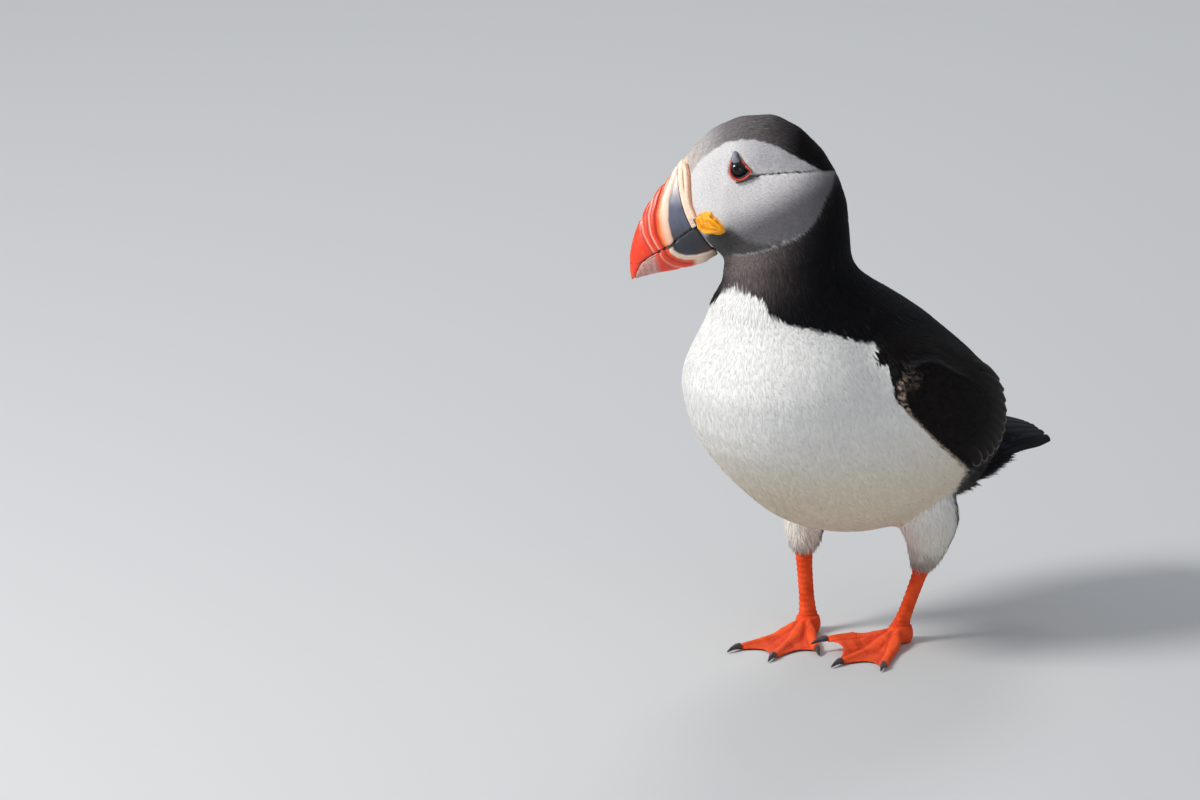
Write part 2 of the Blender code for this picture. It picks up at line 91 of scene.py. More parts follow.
# Reach of the eye's ring round its middle, by the angle from straight ahead over the top to the rear corner.
RING_REACH = (
    (0, 3.1), (20, 3.2), (41, 3.6), (60, 4.2), (80, 4.5), (103, 4.0), (125, 3.2), (154, 3.0), (173, 3.9),
    (186, 4.8), (200, 4.25), (225, 3.8), (250, 3.6), (270, 3.55), (300, 3.35), (330, 3.15), (360, 3.1),
)
TURNED_LEFT = np.array([math.cos(HEAD_TURN), -math.sin(HEAD_TURN), 0.0])
AHEAD = np.array([-math.sin(HEAD_TURN), -math.cos(HEAD_TURN), 0.0])
TO_LEFT = TURNED_LEFT * math.cos(HEAD_ROLL) + np.array([0, 0, math.sin(HEAD_ROLL)])
UPWARD = np.array([0, 0, math.cos(HEAD_ROLL)]) - TURNED_LEFT * math.sin(HEAD_ROLL)


def middle_of(node):
    """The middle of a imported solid."""
    low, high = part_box(node)
    return np.array((low + high) / 2) / MM


EYES = {name: middle_of("eye_" + name) for name, _ in SIDES}
SKULL = (EYES["left"] + EYES["right"]) / 2 - AHEAD * EYE_AHEAD - UPWARD * EYE_UP

# The line that the plumage follows, from the bill past the nape and the trunk to the tail's tip.
HEAD_TO_TAIL = np.array([
    SKULL + AHEAD * 26 - UPWARD * 6, SKULL + AHEAD * 12 - UPWARD * 2, SKULL - AHEAD * 6 - UPWARD * 8,
    AXIS + (-2, -30, 148), AXIS + (0, -20, 125), AXIS + (0, -8, 98), AXIS + (0, 8, 78), AXIS + (0, 34, 68),
    AXIS + (0, 70, 65), AXIS + (0, 100, 62),
])

# Edges of the markings.  The face is drawn in the head's plane as (forward, up).
FACE_EDGE = (
    (29.4, -3.4), (29.2, 0.2), (27.8, 4.2), (26.6, 7.2), (23.9, 11.0), (19.9, 14.4), (14.9, 17.4),
    (9.4, 18.7), (3.9, 18.6), (-1.0, 17.4), (-4.9, 15.7), (-8.9, 13.6), (-12.8, 11.3), (-16.8, 9.1),
    (-20.7, 6.8), (-25.1, 6.6), (-24.7, 3.1), (-22.7, -0.7), (-20.7, -4.5), (-18.7, -8.7), (-16.8, -11.6),
    (-13.4, -15.0), (-9.5, -17.3), (-4.9, -19.2), (0.0, -21.3), (3.5, -22.4), (7.9, -23.6), (13.8, -24.6),
    (20.0, -26.0), (34.0, -14.0),
)
CHIN_PATCH = (
    (21.5, -15.6), (13.6, -13.4), (9.6, -16.8), (5.6, -18.4), (1.3, -19.0), (-2.3, -18.9), (-7.0, -17.6),
    (-5.0, -20.0), (1.7, -21.2), (8.0, -24.0), (14.0, -26.5), (24.0, -26.0),
)
CREASE = ((6.5, 5.2), (1.0, 6.4), (-5.0, 6.9), (-14.3, 7.2), (-21.0, 7.4))
# How far forward the face and the cap reach to the fleshy edge of the bill: up and forward.
CERE_REAR = (
    (-13, 23.6), (-11, 24.8), (-8.7, 25.8), (-6.0, 27.0), (-2.2, 27.6), (1.6, 27.8), (5.4, 28.0), (9.3, 28.8),
)

# Edges on the body, as (turn from the breast's middle in degrees, height): the white breast's upper edge, the
# wing's lower edge and its upper one, and where the back's feathers end over the wing.
COLLAR_LINE = (
    (0, 144.2), (6, 143), (10, 141.3), (13, 137), (20, 133.5), (33, 129.6), (42, 127), (53, 124), (57.5, 117),
    (59.3, 110), (60.5, 104.5), (68, 97), (87, 82.5), (109, 70.6), (125, 64), (140, 58), (160, 52), (180, 50),
)
WING_EDGE = (
    (132, 63.5), (120, 66.5), (109, 70.6), (98, 76.3), (87, 82.5), (77, 89.6), (68, 97), (64, 101),
    (62, 104.5), (61.5, 108), (62.5, 111), (65, 113),
)
WING_TOP = ((56, 125), (80, 122), (104, 118), (116, 115), (128, 110), (140, 106), (152, 96), (160, 86))
SCAPULAR_FOLD = (
    (56, 112.5), (66, 114.0), (75, 115.5), (85, 114.5), (97, 109), (115, 101), (135, 93), (160, 84),
)
WING_GIRTH, COLLAR_GIRTH = 0.87, 0.8  # millimetres to a degree of turn


# --- small tools ----------------------------------------------------------------------------------
def paint(red, green, blue):
    """The linear colour of a paint named in steps of 255."""
    steps = np.array([red, green, blue]) / 255
    return np.where(steps <= 0.04045, steps / 12.92, ((steps + 0.055) / 1.055) ** 2.4)


def ease(low, high, x):
    """Rises smoothly from 0 at low to 1 at high, or falls where high is the lower one."""
    t = np.clip((x - low) / (high - low), 0, 1)
    return t * t * (3 - 2 * t)


def unit(v):
    return v / np.maximum(np.linalg.norm(v, axis=-1, keepdims=True), 1e-9)


def mix(a, b, share):
    share = np.asarray(share)[..., None]
    return a * (1 - share) + b * share


def at(line, value):
    """Reads a line of (place, value) pairs."""
    return np.interp(value, *zip(*line))


def shade_along(x, *stops):
    """Colours that change evenly with x, through (x, colour) stops in rising order."""
    return np.stack([at([(place, colour[k]) for place, colour in stops], x) for k in range(3)], -1)


def widened(line, share):
    return [(across * share, up) for across, up in line]


def in_head(points):
    """How far points lie to the bird's left, ahead of and above the middle of its skull."""
    d = points - SKULL
    return d @ TO_LEFT, d @ AHEAD, d @ UPWARD


def from_head(side, ahead, up):
    return SKULL + TO_LEFT * side + AHEAD * ahead + UPWARD * up


def turn_and_height(points):
    """How far points lie round the body from the breast's middle, in degrees to either side, and how high."""
    d = points - AXIS
    return np.degrees(np.arctan2(np.abs(d[:, 0]), -d[:, 1])), d[:, 2]


def distance_to_line(x, y, line):
    best = np.full(len(x), 1e9)
    for (ax, ay), (bx, by) in zip(line, line[1:]):
        ex, ey = bx - ax, by - ay
        t = np.clip(((x - ax) * ex + (y - ay) * ey) / (ex * ex + ey * ey), 0, 1)
        best = np.minimum(best, np.hypot(x - ax - t * ex, y - ay - t * ey))
    return best


def inside_outline(x, y, outline):
    """Signed distance to a closed outline: below zero inside it."""
    closed = outline + outline[:1]
    best = distance_to_line(x, y, closed)
    odd = np.zeros(len(x), bool)
    for (ax, ay), (bx, by) in zip(closed, closed[1:]):
        if by != ay:
            odd ^= ((ay > y) != (by > y)) & (x < ax + (y - ay) / (by - ay) * (bx - ax))
    return np.where(odd, -best, best)


def past_eye_ring(ahead, up):
    """How far outside the eye's ring a place on the head's side lies."""
    x, y = ahead - EYE_AHEAD, up - RING_UP
    return np.hypot(x, y) - at(RING_REACH, np.degrees(np.arctan2(y, x)) % 360)


def inside_wing(turn, height):
    """How far inside the wing's lower edge a place on the body's side lies."""
    across, edge = turn * WING_GIRTH, widened(WING_EDGE, WING_GIRTH)
    behind = across > at([(up, rim) for rim, up in edge], height)
    return distance_to_line(across, height, edge) * np.where(behind, 1, -1)


def above_fold(turn, height):
    """How far above the edge of the back's feathers over the wing a place lies."""
    return height - at(SCAPULAR_FOLD, turn)


def off_collar(points):
    """Distance from the edge between the white breast and the black above it."""
    turn, height = turn_and_height(points)
    return distance_to_line(turn * COLLAR_GIRTH, height, widened(COLLAR_LINE, COLLAR_GIRTH))


def ripple(points, size, seed):
    """Smooth unevenness from -1 to 1 with waves of about that size."""
    waves = np.random.default_rng(seed)
    total = np.zeros(len(points))
    for _ in range(7):
        heading = unit(waves.normal(size=3))
        pace = FULL_TURN / size
        total += np.sin(points @ heading * pace * waves.uniform(0.6, 1.5) + waves.uniform(0, 6.3))
    return total / 4


# --- meshes ---------------------------------------------------------------------------------------
def arrays_of(mesh):
    """A mesh's points and edges."""
    points = np.empty(len(mesh.vertices) * 3)
    mesh.vertices.foreach_get("co", points)
    edges = np.empty(len(mesh.edges) * 2, int)
    mesh.edges.foreach_get("vertices", edges)
    return points.reshape(-1, 3) / MM, edges.reshape(-1, 2)


def normals_of(mesh):
    normals = np.empty(len(mesh.vertices) * 3)
    mesh.vertex_normals.foreach_get("vector", normals)
    return normals.reshape(-1, 3)


def set_points(mesh, points):
    mesh.vertices.foreach_set("co", (points * MM).ravel())
    mesh.update()


def push_out(mesh, points, distance):
    """Moves a mesh's points along its normals, and gives their new places."""
    points = points + normals_of(mesh) * distance[:, None]
    set_points(mesh, points)
    return points


def soften(values, edges, times, amount=0.5):
    """Each value moves towards the mean of its neighbours."""
    values = np.array(values, float, order="C")
    columns = values.reshape(len(values), -1)
    count = np.maximum(np.bincount(edges.ravel(), minlength=len(values)), 1)[:, None]
    for _ in range(times):
        total = np.zeros_like(columns)
        for here, there in (edges.T, edges.T[::-1]):
            for k, column in enumerate(columns.T):
                total[:, k] += np.bincount(here, column[there], len(values))
        columns += (total / count - columns) * amount
    return values


def soften_row(values, times):
    """The same along a row of places, whose ends stay."""
    values = values.copy()
    for _ in range(times):
        values[1:-1] = (values[:-2] + 2 * values[1:-1] + values[2:]) / 4
    return values


def mesh_of(name, bm):
    mesh = bpy.data.meshes.new(name)
    bm.to_mesh(mesh)
    bm.free()
    return mesh


def link(name, data):
    thing = bpy.data.objects.new(name, data)
    bpy.context.scene.collection.objects.link(thing)
    return thing


def applied(thing):
    """The mesh that an object shows with its modifiers; the object is removed."""
    mesh = bpy.data.meshes.new_from_object(thing.evaluated_get(bpy.context.evaluated_depsgraph_get()))
    bpy.data.objects.remove(thing)
    return mesh


def remeshed(nodes, voxel, swell):
    """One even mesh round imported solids, moved outwards by swell, which closes the gaps between them."""
    joined = bmesh.new()
    for node in nodes:
        solid = bmesh.new()
        solid.from_mesh(NODES[node].data)
        bmesh.ops.remove_doubles(solid, verts=solid.verts, dist=1e-6)
        solid.normal_update()
        for vertex in solid.verts:
            vertex.co += vertex.normal * swell * MM
        joined.from_mesh(mesh_of("solid", solid))
    thing = link("joined", mesh_of("joined", joined))
    grid = thing.modifiers.new("grid", "REMESH")
    grid.mode = "VOXEL"
    grid.voxel_size = voxel * MM
    return without_pockets(applied(thing))


def without_pockets(mesh):
    """Takes away the small closed pockets that a remesh leaves inside."""
    points, edges = arrays_of(mesh)
    group, lowest = None, np.arange(len(points))
    while group is None or (lowest != group).any():
        group = lowest
        lowest = group.copy()
        np.minimum.at(lowest, edges[:, 0], group[edges[:, 1]])
        np.minimum.at(lowest, edges[:, 1], group[edges[:, 0]])
        lowest = lowest[lowest]
    sizes = np.bincount(group)
    small = sizes[group] < sizes.max() * 0.02
    if small.any():
        bm = bmesh.new()
        bm.from_mesh(mesh)
        bm.verts.ensure_lookup_table()
        bmesh.ops.delete(bm, geom=[bm.verts[i] for i in np.nonzero(small)[0]], context="VERTS")
        bm.to_mesh(mesh)
        bm.free()
    return mesh


def set_colours(mesh, colours):
    layer = mesh.attributes.new("Tint", "FLOAT_COLOR", "POINT")
    four = np.ones((len(colours), 4))
    four[:, :3] = np.clip(colours, 0, 1)
    layer.data.foreach_set("color", four.ravel())


def show(name, mesh, materials, nodes=()):
    """A finished piece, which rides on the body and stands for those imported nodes."""
    mesh.polygons.foreach_set("use_smooth", [True] * len(mesh.polygons))
    mesh.materials.clear()
    for material in materials if isinstance(materials, tuple) else (materials,):
        mesh.materials.append(material)
    thing = link(name, mesh)
    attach(thing, "root")
    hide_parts(*nodes)
    return thing


def tree_of(nodes):
    """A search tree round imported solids, with the solid that each face belongs to."""
    corners, faces, names = [], [], []
    for node in nodes:
        mesh = NODES[node].data
        start = len(corners)
        corners += [v.co / MM for v in mesh.vertices]
        faces += [[start + i for i in p.vertices] for p in mesh.polygons]
        names += [node] * len(mesh.polygons)
    return BVHTree.FromPolygons(corners, faces), names


def nearest_node(points, nodes):
    """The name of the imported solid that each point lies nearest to."""
    tree, names = tree_of(nodes)
    return np.array([names[tree.find_nearest(Vector(p))[2]] for p in points])


def proud_of(points, nodes):
    """How far each point stands outside those solids, below zero inside them."""
    tree, _ = tree_of(nodes)
    found = [tree.find_nearest(Vector(p)) for p in points]
    return np.array([(Vector(p) - place).dot(normal) for p, (place, normal, _, _) in zip(points, found)])


# --- colours of the plumage -----------------------------------------------------------------------
BREAST_WHITE = paint(232, 232, 230)
PAINTED_BOUNCE_CREAM = paint(222, 211, 190)
FACE_GREY = paint(227, 224, 225)
BROW_GREY = paint(168, 167, 174)
CHEEK_PAINTED_SHADE = paint(100, 98, 103)
CHIN_RIM = paint(206, 204, 202)
CHIN_GREY = paint(62, 60, 60)
CROWN_GREY_WITH_SHEEN = paint(93, 88, 90)
CROWN_PALE = paint(132, 126, 128)
FOREHEAD_GREY = paint(188, 183, 184)
BILL_EDGE_DOWN = paint(206, 196, 190)
BILL_EDGE_CREAM = paint(240, 214, 190)
NAPE_BLACK = paint(17, 16, 18)
COLLAR_BROWN_SHEEN = paint(106, 96, 96)
BACK_BLACK = paint(14, 14, 17)
WING_BROWN = paint(20, 16, 15)
WING_EDGE_TAN = paint(158, 140, 126)
WING_PATCH_BROWN = paint(98, 82, 76)
PAINTED_FOLD_SHEEN = paint(50, 49, 54)
TAIL_BLACK = paint(14, 14, 18)
TAIL_BLUE = paint(38, 41, 54)
THIGH_GREY = paint(128, 118, 112)
VENT_BROWN = paint(28, 24, 24)


def head_colour(points):
    _, ahead, up = in_head(points)
    fray = ripple(points, 2.2, 3) * 0.22
    face = inside_outline(ahead, up, FACE_EDGE) + fray
    # The cap pales from the nape to the forehead; its grey is partly its own colour and partly painted sheen,
    # and it is lighter towards the top.
    cap = shade_along(ahead, (-12, NAPE_BLACK), (0, CROWN_GREY_WITH_SHEEN), (15, CROWN_PALE), (22, FOREHEAD_GREY),
                      (26.5, BILL_EDGE_DOWN))
    cap = mix(NAPE_BLACK, cap, ease(-6, 8, up) * (0.75 + 0.25 * ease(-1, 1, ripple(points, 1.3, 4))))
    cap = mix(cap, black_above(points), ease(-10, -16, up))
    # The face darkens over the eye and on the chin, and painted shade darkens it towards the lower cheek and
    # in the crease behind the eye.
    front = mix(FACE_GREY, BROW_GREY, ease(-1.5, 2.5, up - 7.2) * ease(13, 2, ahead) * 0.7)
    # Painted shade: the lower rear of the cheek darkens as if turned away from the light.
    front = mix(front, CHEEK_PAINTED_SHADE, ease(-1, 14.5, (10 - ahead) * 0.6 - 4 - up))
    chin = inside_outline(ahead, up, CHIN_PATCH) + fray
    front = mix(front, CHIN_GREY, ease(1.4, -1.4, chin) * 0.95)
    # Painted shade along the crease behind the eye.
    crease = distance_to_line(ahead, up, CREASE)
    thick = 0.2 + 0.45 * ease(1, 7, ahead)
    front = mix(front, CROWN_GREY_WITH_SHEEN * 0.35, ease(thick + 0.35, thick - 0.1, crease) * ease(-24, -12, ahead))
    rim = ease(0.6, 0.2, np.abs(face + 0.35)) * ease(14, 10, ahead) * ease(-13, -17, up)
    front = mix(front, CHIN_RIM, rim * 0.3)
    colour = mix(cap, front, ease(0.35, -0.35, face))
    return mix(colour, BILL_EDGE_CREAM, ease(-0.5, 0.1, ahead - at(CERE_REAR, up)) * (up > -11.5))


def black_above(points):
    """The black of the neck and back, with a painted sheen, browner and paler, down the front of the neck."""
    _, height = turn_and_height(points)
    front = ease(33, 50, AXIS[1] - points[:, 1]) * ease(132, 152, height)
    front = front * ease(23, 0, np.abs(points[:, 0] - AXIS[0]))
    return mix(BACK_BLACK, COLLAR_BROWN_SHEEN, front)


def below_collar(points):
    """How far under the upper edge of the white breast places lie; the nape is never under it."""
    turn, height = turn_and_height(points)
    nape = (height > 118) & (AXIS[1] - points[:, 1] < 14)
    return at(COLLAR_LINE, turn) - height - 60 * nape


def body_colour(points):
    turn, height = turn_and_height(points)
    below = below_collar(points) + ripple(points, 3.4, 5) * 0.6
    # Painted warm light thrown up from the ground turns the white cream towards the belly.
    white = mix(BREAST_WHITE, PAINTED_BOUNCE_CREAM, ease(100, 58, height))
    vent = ease(114, 126, turn + 3 * ripple(points, 3, 6)) * ease(43, 50, height)
    return mix(black_above(points), mix(white, VENT_BROWN, vent), ease(-0.7, 0.7, below))


def thigh_colour(points, node):
    _, height = turn_and_height(points)
    # Painted warm light from the ground tints the white cream towards the thighs' lower ends.
    white = mix(BREAST_WHITE, PAINTED_BOUNCE_CREAM, 0.4 * ease(60, 40, height))
    colour = mix(white, THIGH_GREY, ease(40, 30, height + ripple(points, 5, 8) * 2) * 0.75)
    x, y = (points - middle_of(node))[:, :2].T
    rear = np.degrees(np.arctan2(x * (1 if node.endswith("left") else -1), -y)) % 360
    vent = ease(104, 128, rear + 6 * ripple(points, 3, 9)) * ease(290, 260, rear)
    return mix(colour, VENT_BROWN, vent * 0.9)


def wing_colour(points):
    turn, height = turn_and_height(points)
    edge = inside_wing(turn, height)
    mottle = 0.5 + 0.5 * ripple(points, 1.5, 13)
    colour = mix(WING_BROWN, BACK_BLACK, ease(80, 120, turn) * 0.5)
    # A painted sheen on the feather tips along the fold, then the speckled front corner and the pale lower
    # edge.
    tips = above_fold(turn, height)
    tips = ease(-0.5, 0.5, tips) * ease(3.5, 1.0, tips) * ease(60, 66, turn) * ease(120, 90, turn)
    colour = mix(colour, PAINTED_FOLD_SHEEN, tips * (0.35 + 0.5 * mottle))
    patch = ease(6.5, 1.0, np.hypot((turn - 67) * 0.85, height - 111.5)) * ease(0.35, 0.7, mottle)
    colour = mix(colour, WING_PATCH_BROWN, patch * ease(0.3, 1, edge) * 0.85)
    wide = 0.65 + 1.7 * ease(95, 107, height)
    broken = 0.35 * ease(104, 96, height)
    line = ease(wide + 0.3, wide - 0.4, edge) * ease(0.25 - broken, 0.8 - broken, mottle)
    colour = mix(colour, WING_EDGE_TAN, line * ease(124, 104, turn) * ease(114, 110, height))
    return mix(colour, body_colour(points), ease(0.35, -0.35, edge) * (height < 117))


def plumage_colour(points, owner):
    """The markings with their painted light and shade, the same ones for the skin and for the feathers on it.
    """
    colour = np.tile(TAIL_BLACK, (len(points), 1))
    for nodes, shade in ((("head",), head_colour), (("neck", "trunk"), body_colour), (WINGS, wing_colour)):
        here = np.isin(owner, nodes)
        colour[here] = shade(points[here])
    for node in THIGHS:
        colour[owner == node] = thigh_colour(points[owner == node], node)
    return colour


# --- the skin under the feathers ------------------------------------------------------------------
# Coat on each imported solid: depth, tuft length, tuft width, spacing and how far the tips lift.
COAT = {
    "head": (0.6, 4.2, 0.6, 0.6, 0.3),
    "neck": (0.8, 5.5, 0.9, 0.85, 0.4),
    "trunk": (0.9, 7.5, 0.85, 0.86, 0.14),
    "tail": (0.6, 7.0, 1.6, 1.3, 0.4),
}
COAT.update(dict.fromkeys(WINGS, (0.7, 5.0, 2.1, 1.3, 0.4)))
COAT.update(dict.fromkeys(THIGHS, (1.6, 7.5, 0.75, 0.8, 1.0)))
FEATHERED = ["head", "neck", "trunk", *WINGS, "tail", *THIGHS]
FILLED = FEATHERED + ["eye_left", "eye_right"]  # the skin runs on over the eyes, sunk inside their rings
BARE = ["tarsus_left", "foot_left", "tarsus_right", "foot_right"]
SKIN_GRID, SKIN_SWELL = 1.05, 0.35
LEG_GRID, LEG_SWELL = 0.45, 0.12
bill_tree, _ = tree_of(("bill_upper", "bill_lower", "bill_cere", "rosette_left", "rosette_right"))


def blurred(mask, times):
    """A soft-edged share from a yes or no at each point of the skin."""
    return soften(mask.astype(float), skin_edges, times)


skin_mesh = remeshed(FILLED, SKIN_GRID, SKIN_SWELL)
skin_points, skin_edges = arrays_of(skin_mesh)
skin_owner = nearest_node(skin_points, FEATHERED)

# The solids' facets are smoothed away, but the tail and the wings' tips stay crisp.
turn, height = turn_and_height(skin_points)
crisp = (skin_owner == "tail") | (np.isin(skin_owner, WINGS) & (turn > 138) & (height < 92))
crisp = ease(0.0, 0.6, blurred(crisp, 5))
skin_points = mix(soften(skin_points, skin_edges, 40), soften(skin_points, skin_edges, 5), crisp)
set_points(skin_mesh, skin_points)

# The skin is brought back to the solids and drawn in by the coat's depth, which thins out towards the bill.
near_bill = np.array([bill_tree.find_nearest(Vector(p))[3] for p in skin_points])
depth = np.array([COAT[o][0] for o in skin_owner]) * (0.1 + 0.9 * ease(1.0, 6.0, near_bill))
offset = -soften(depth, skin_edges, 12) - proud_of(skin_points, FILLED)
bulk = ease(0, 1, blurred(np.isin(skin_owner, ("trunk", "neck")), 8))
offset = soften(offset, skin_edges, 12) * (1 - bulk) + soften(offset, skin_edges, 70) * bulk
skin_points = push_out(skin_mesh, skin_points, offset)

# The wing's top and the flank run on into the body.
turn, height = turn_and_height(skin_points)
on_body = ~np.isin(skin_owner, ("head", "tail", *THIGHS))
run_on = ease(11, 5, np.abs(height - at(WING_TOP, turn) + 1)) * ease(50, 58, turn) * ease(160, 148, turn)
flank = ease(9, 5, np.abs(height - at(COLLAR_LINE, turn) + 3)) * ease(56, 62, turn) * ease(128, 118, turn)
skin_points = mix(skin_points, soften(skin_points, skin_edges, 90), on_body * np.maximum(run_on, flank))
set_points(skin_mesh, skin_points)

# The wing's lower edge and the back's feather edge over the wing stand a little proud.
edge, fold = inside_wing(turn, height), above_fold(turn, height)
wing_step = 0.8 * ease(-0.3, 0.9, edge) * ease(9, 2, edge) - 0.4 * ease(1.8, 0, np.abs(edge + 1.0))
wing_step *= ease(132, 118, turn) * ease(116, 112, height)
fold_step = 1.1 * ease(-0.4, 0.8, fold) * ease(8, 1.5, fold) - 0.5 * ease(2.0, 0.0, np.abs(fold + 1.0))
fold_step *= ease(57, 62, turn) * ease(114, 90, turn)
skin_points = push_out(skin_mesh, skin_points, on_body * (wing_step + fold_step))

# The tail's end is drawn in under its feathers; the head gets its crease and eye sockets and a fuller crown.
skin_points[:, 1] -= 0.45 * (skin_owner == "tail") * np.maximum(skin_points[:, 1] - AXIS[1] - 85, 0)
_, ahead, up = in_head(skin_points)
on_head = (skin_owner == "head") * ease(-26, -20, ahead)
hollow = 0.7 * ease(1.6, 0.2, distance_to_line(ahead, up, CREASE)) * ease(-24, -14, ahead)
socket = 3.2 * ease(0.3, -0.6, past_eye_ring(ahead, up))
crown = 0.65 * ease(9, 14, up) * ease(24, 17, ahead) * ease(-12, -4, ahead)
skin_points = push_out(skin_mesh, skin_points, (crown - hollow - socket) * on_head)
skin_points = soften(skin_points, skin_edges, 1, 0.4)
set_points(skin_mesh, skin_points)
# The skin carries the same markings, darkened as painted shade under the feathers.
skin_colours_in_painted_shade = plumage_colour(skin_points, skin_owner) * 0.8


# --- bare legs and feet ---------------------------------------------------------------------------
ANKLES = {"left": (16.5, 7.5), "right": (-17.0, -7.0)}
TOES = {"left": ((34, 35.0), (9, 37.5), (-20, 30.0)), "right": ((-1, 35.0), (25, 37.5), (51, 27.0))}
TOE_JOINTS = (0.36, 0.66)
FOOT_REACH, TOE_HEIGHT, WEB_HEIGHT = 41, 9, 7
SHADED_LEG_ORANGE = paint(212, 62, 8)
LEG_RED = paint(206, 52, 20)
LIT_WEB_ORANGE = paint(244, 92, 34)
SOLE_PAINTED_SHADE = paint(150, 52, 28)


def leg_finish(points, normals):
    """Scutes, joints and web creases: how far the leg's skin moves out, and its colour."""
    d = points - AXIS
    height = d[:, 2]
    lift, creased, on_toes = np.zeros((3, len(points)))
    for name, _ in SIDES:
        dx, dy = d[:, 0] - ANKLES[name][0], d[:, 1] - ANKLES[name][1]
        reach, heading = np.hypot(dx, dy), np.arctan2(dx, -dy)
        mine = (reach < FOOT_REACH) & ((name == "right") | (d[:, 0] > -1.5))
        top = mine * ease(0.1, 0.7, normals[:, 2])
        for toward, length in TOES[name]:
            a = math.radians(toward)
            along = dx * math.sin(a) - dy * math.cos(a)
            across = dx * math.cos(a) + dy * math.sin(a)
            on_toe = ease(2.9, 1.7, np.abs(across)) * ease(3, 6, along)
            on_toe = on_toe * (along < length + 2) * (height < TOE_HEIGHT)
            rows = np.sin(along * (FULL_TURN / 1.25) + 0.8 * np.sin(across * 2.2))
            joint = sum(ease(1.3, 0.2, np.abs(along - length * share)) for share in TOE_JOINTS)
            lift += on_toe * top * (0.07 * rows + 0.16 * joint)
            seam = ease(0.9, 0.1, np.abs(np.abs(across) - 2.5))
            creased += top * seam * (along > 5) * (along < length) * 0.8
            on_toes += mine * on_toe
        web = mine * (reach > 9) * (height < WEB_HEIGHT) * ease(0.2, 0.7, normals[:, 2])
        web = web * np.clip(1 - on_toes, 0, 1)
        folds = np.sin(heading * 34 + 1.2 * np.sin(reach * 0.35 + ANKLES[name][0]))
        fine = np.sin(heading * 90 + 2.0 * np.sin(reach * 0.22))
        lift += web * ease(9, 16, reach) * (0.11 * folds + 0.04 * fine)
        creased += web * ease(0.55, 1.0, -folds) * 0.55
    shank = ease(7.5, 9.5, height)
    ring = np.sin(height * (FULL_TURN / 2.1) + 0.7 * np.sin(np.arctan2(d[:, 0], d[:, 1]) * 3))
    front = ease(0.2, -0.6, normals @ unit(np.array([0.35, 1.0, 0])))
    lift += shank * (0.05 + 0.07 * front) * np.sign(ring) * np.abs(ring) ** 0.5
    creased += shank * ease(0.25, 0.0, np.abs(ring)) * front * 0.5
    ankle = ease(2.0, 0.4, np.abs(height - 7.2))
    lift += ankle * 0.22 * np.sin(height * 4.4)
    creased += ankle * 0.35
    uneven = 0.5 + 0.5 * ripple(points, 6, 21)
    # Painted light and shade: the legs' darker orange is painted shade, and the brighter orange, as painted
    # light, comes in at random and more on the toes.
    colour = mix(SHADED_LEG_ORANGE, LIT_WEB_ORANGE, np.clip(uneven * 0.6 + 0.3 * on_toes * (height < TOE_HEIGHT), 0, 1))
    colour = mix(colour, LEG_RED, np.clip(creased * 0.8 + 0.25 * ease(22, 30, height), 0, 0.85))
    # Painted shade on the undersides next to the floor.
    return lift, mix(colour, SOLE_PAINTED_SHADE, ease(-0.3, -0.8, normals[:, 2]) * (height < 3) * 0.7)


leg_mesh = remeshed(BARE, LEG_GRID, LEG_SWELL)
leg_points, leg_edges = arrays_of(leg_mesh)
leg_points = soften(leg_points, leg_edges, 5)
height = leg_points[:, 2] - AXIS[2]
for name, sign in SIDES:  # each shank runs on up inside its thigh
    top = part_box("tarsus_" + name)[1].z / MM - AXIS[2]
    leg = (leg_points[:, 0] - AXIS[0]) * sign > 1.5
    leg_points[:, 2] += leg * 7.0 * ease(top - 1.2, top - 0.2, height)
set_points(leg_mesh, leg_points)
leg_lift, leg_colours = leg_finish(leg_points, normals_of(leg_mesh))
leg_points = push_out(leg_mesh, leg_points, leg_lift - LEG_SWELL)
leg_points[:, 2] = np.maximum(leg_points[:, 2], AXIS[2] + 0.02)
set_points(leg_mesh, leg_points)


# --- materials ------------------------------------------------------------------------------------
def add_node(tree, kind, inputs=(), **properties):
    """A shader node with its properties set, and its inputs given values or wired to other sockets."""
    node = tree.nodes.new("ShaderNode" + kind)
    for label, value in properties.items():
        setattr(node, label, value)
    for socket, value in dict(inputs).items():
        if isinstance(value, bpy.types.NodeSocket):
            tree.links.new(value, node.inputs[socket])
        else:
            node.inputs[socket].default_value = value
    return node


def calculate(tree, operation, *values):
    return add_node(tree, "Math", enumerate(values), operation=operation).outputs[0]


def new_group(name, **inputs):
    """A pattern with those inputs, which puts out a shade and a height, and its sockets on the inside."""
    group = bpy.data.node_groups.new(name, "ShaderNodeTree")
    for label, value in inputs.items():
        group.interface.new_socket(label, in_out="INPUT", socket_type="NodeSocketFloat").default_value = value
    for label in ("Shade", "Height"):
        group.interface.new_socket(label, in_out="OUTPUT", socket_type="NodeSocketFloat")
    return group, group.nodes.new("NodeGroupInput").outputs


def put_out(group, shade, height):
    outside = group.nodes.new("NodeGroupOutput")
    group.links.new(shade, outside.inputs["Shade"])
    group.links.new(height, outside.inputs["Height"])
    return group


def barb_group():
    """Fine streaks along each tuft, on its own map of across and along."""
    group, inside = new_group("barb_streaks", Across=5.0, Along=1.0, Contrast=0.3)
    lie = add_node(group, "UVMap", uv_map="Lie").outputs[0]
    across, along, _ = add_node(group, "SeparateXYZ", {0: lie}).outputs
    stretched = add_node(group, "CombineXYZ", {
        0: calculate(group, "MULTIPLY", across, inside["Across"]),
        1: calculate(group, "MULTIPLY", along, inside["Along"]),
    }).outputs[0]
    noise = add_node(group, "TexNoise", {"Vector": stretched, "Scale": 1.0, "Detail": 2.0}).outputs["Fac"]
    swing = calculate(group, "SUBTRACT", noise, 0.5)
    return put_out(group, calculate(group, "MULTIPLY_ADD", swing, inside["Contrast"], 1.0), noise)


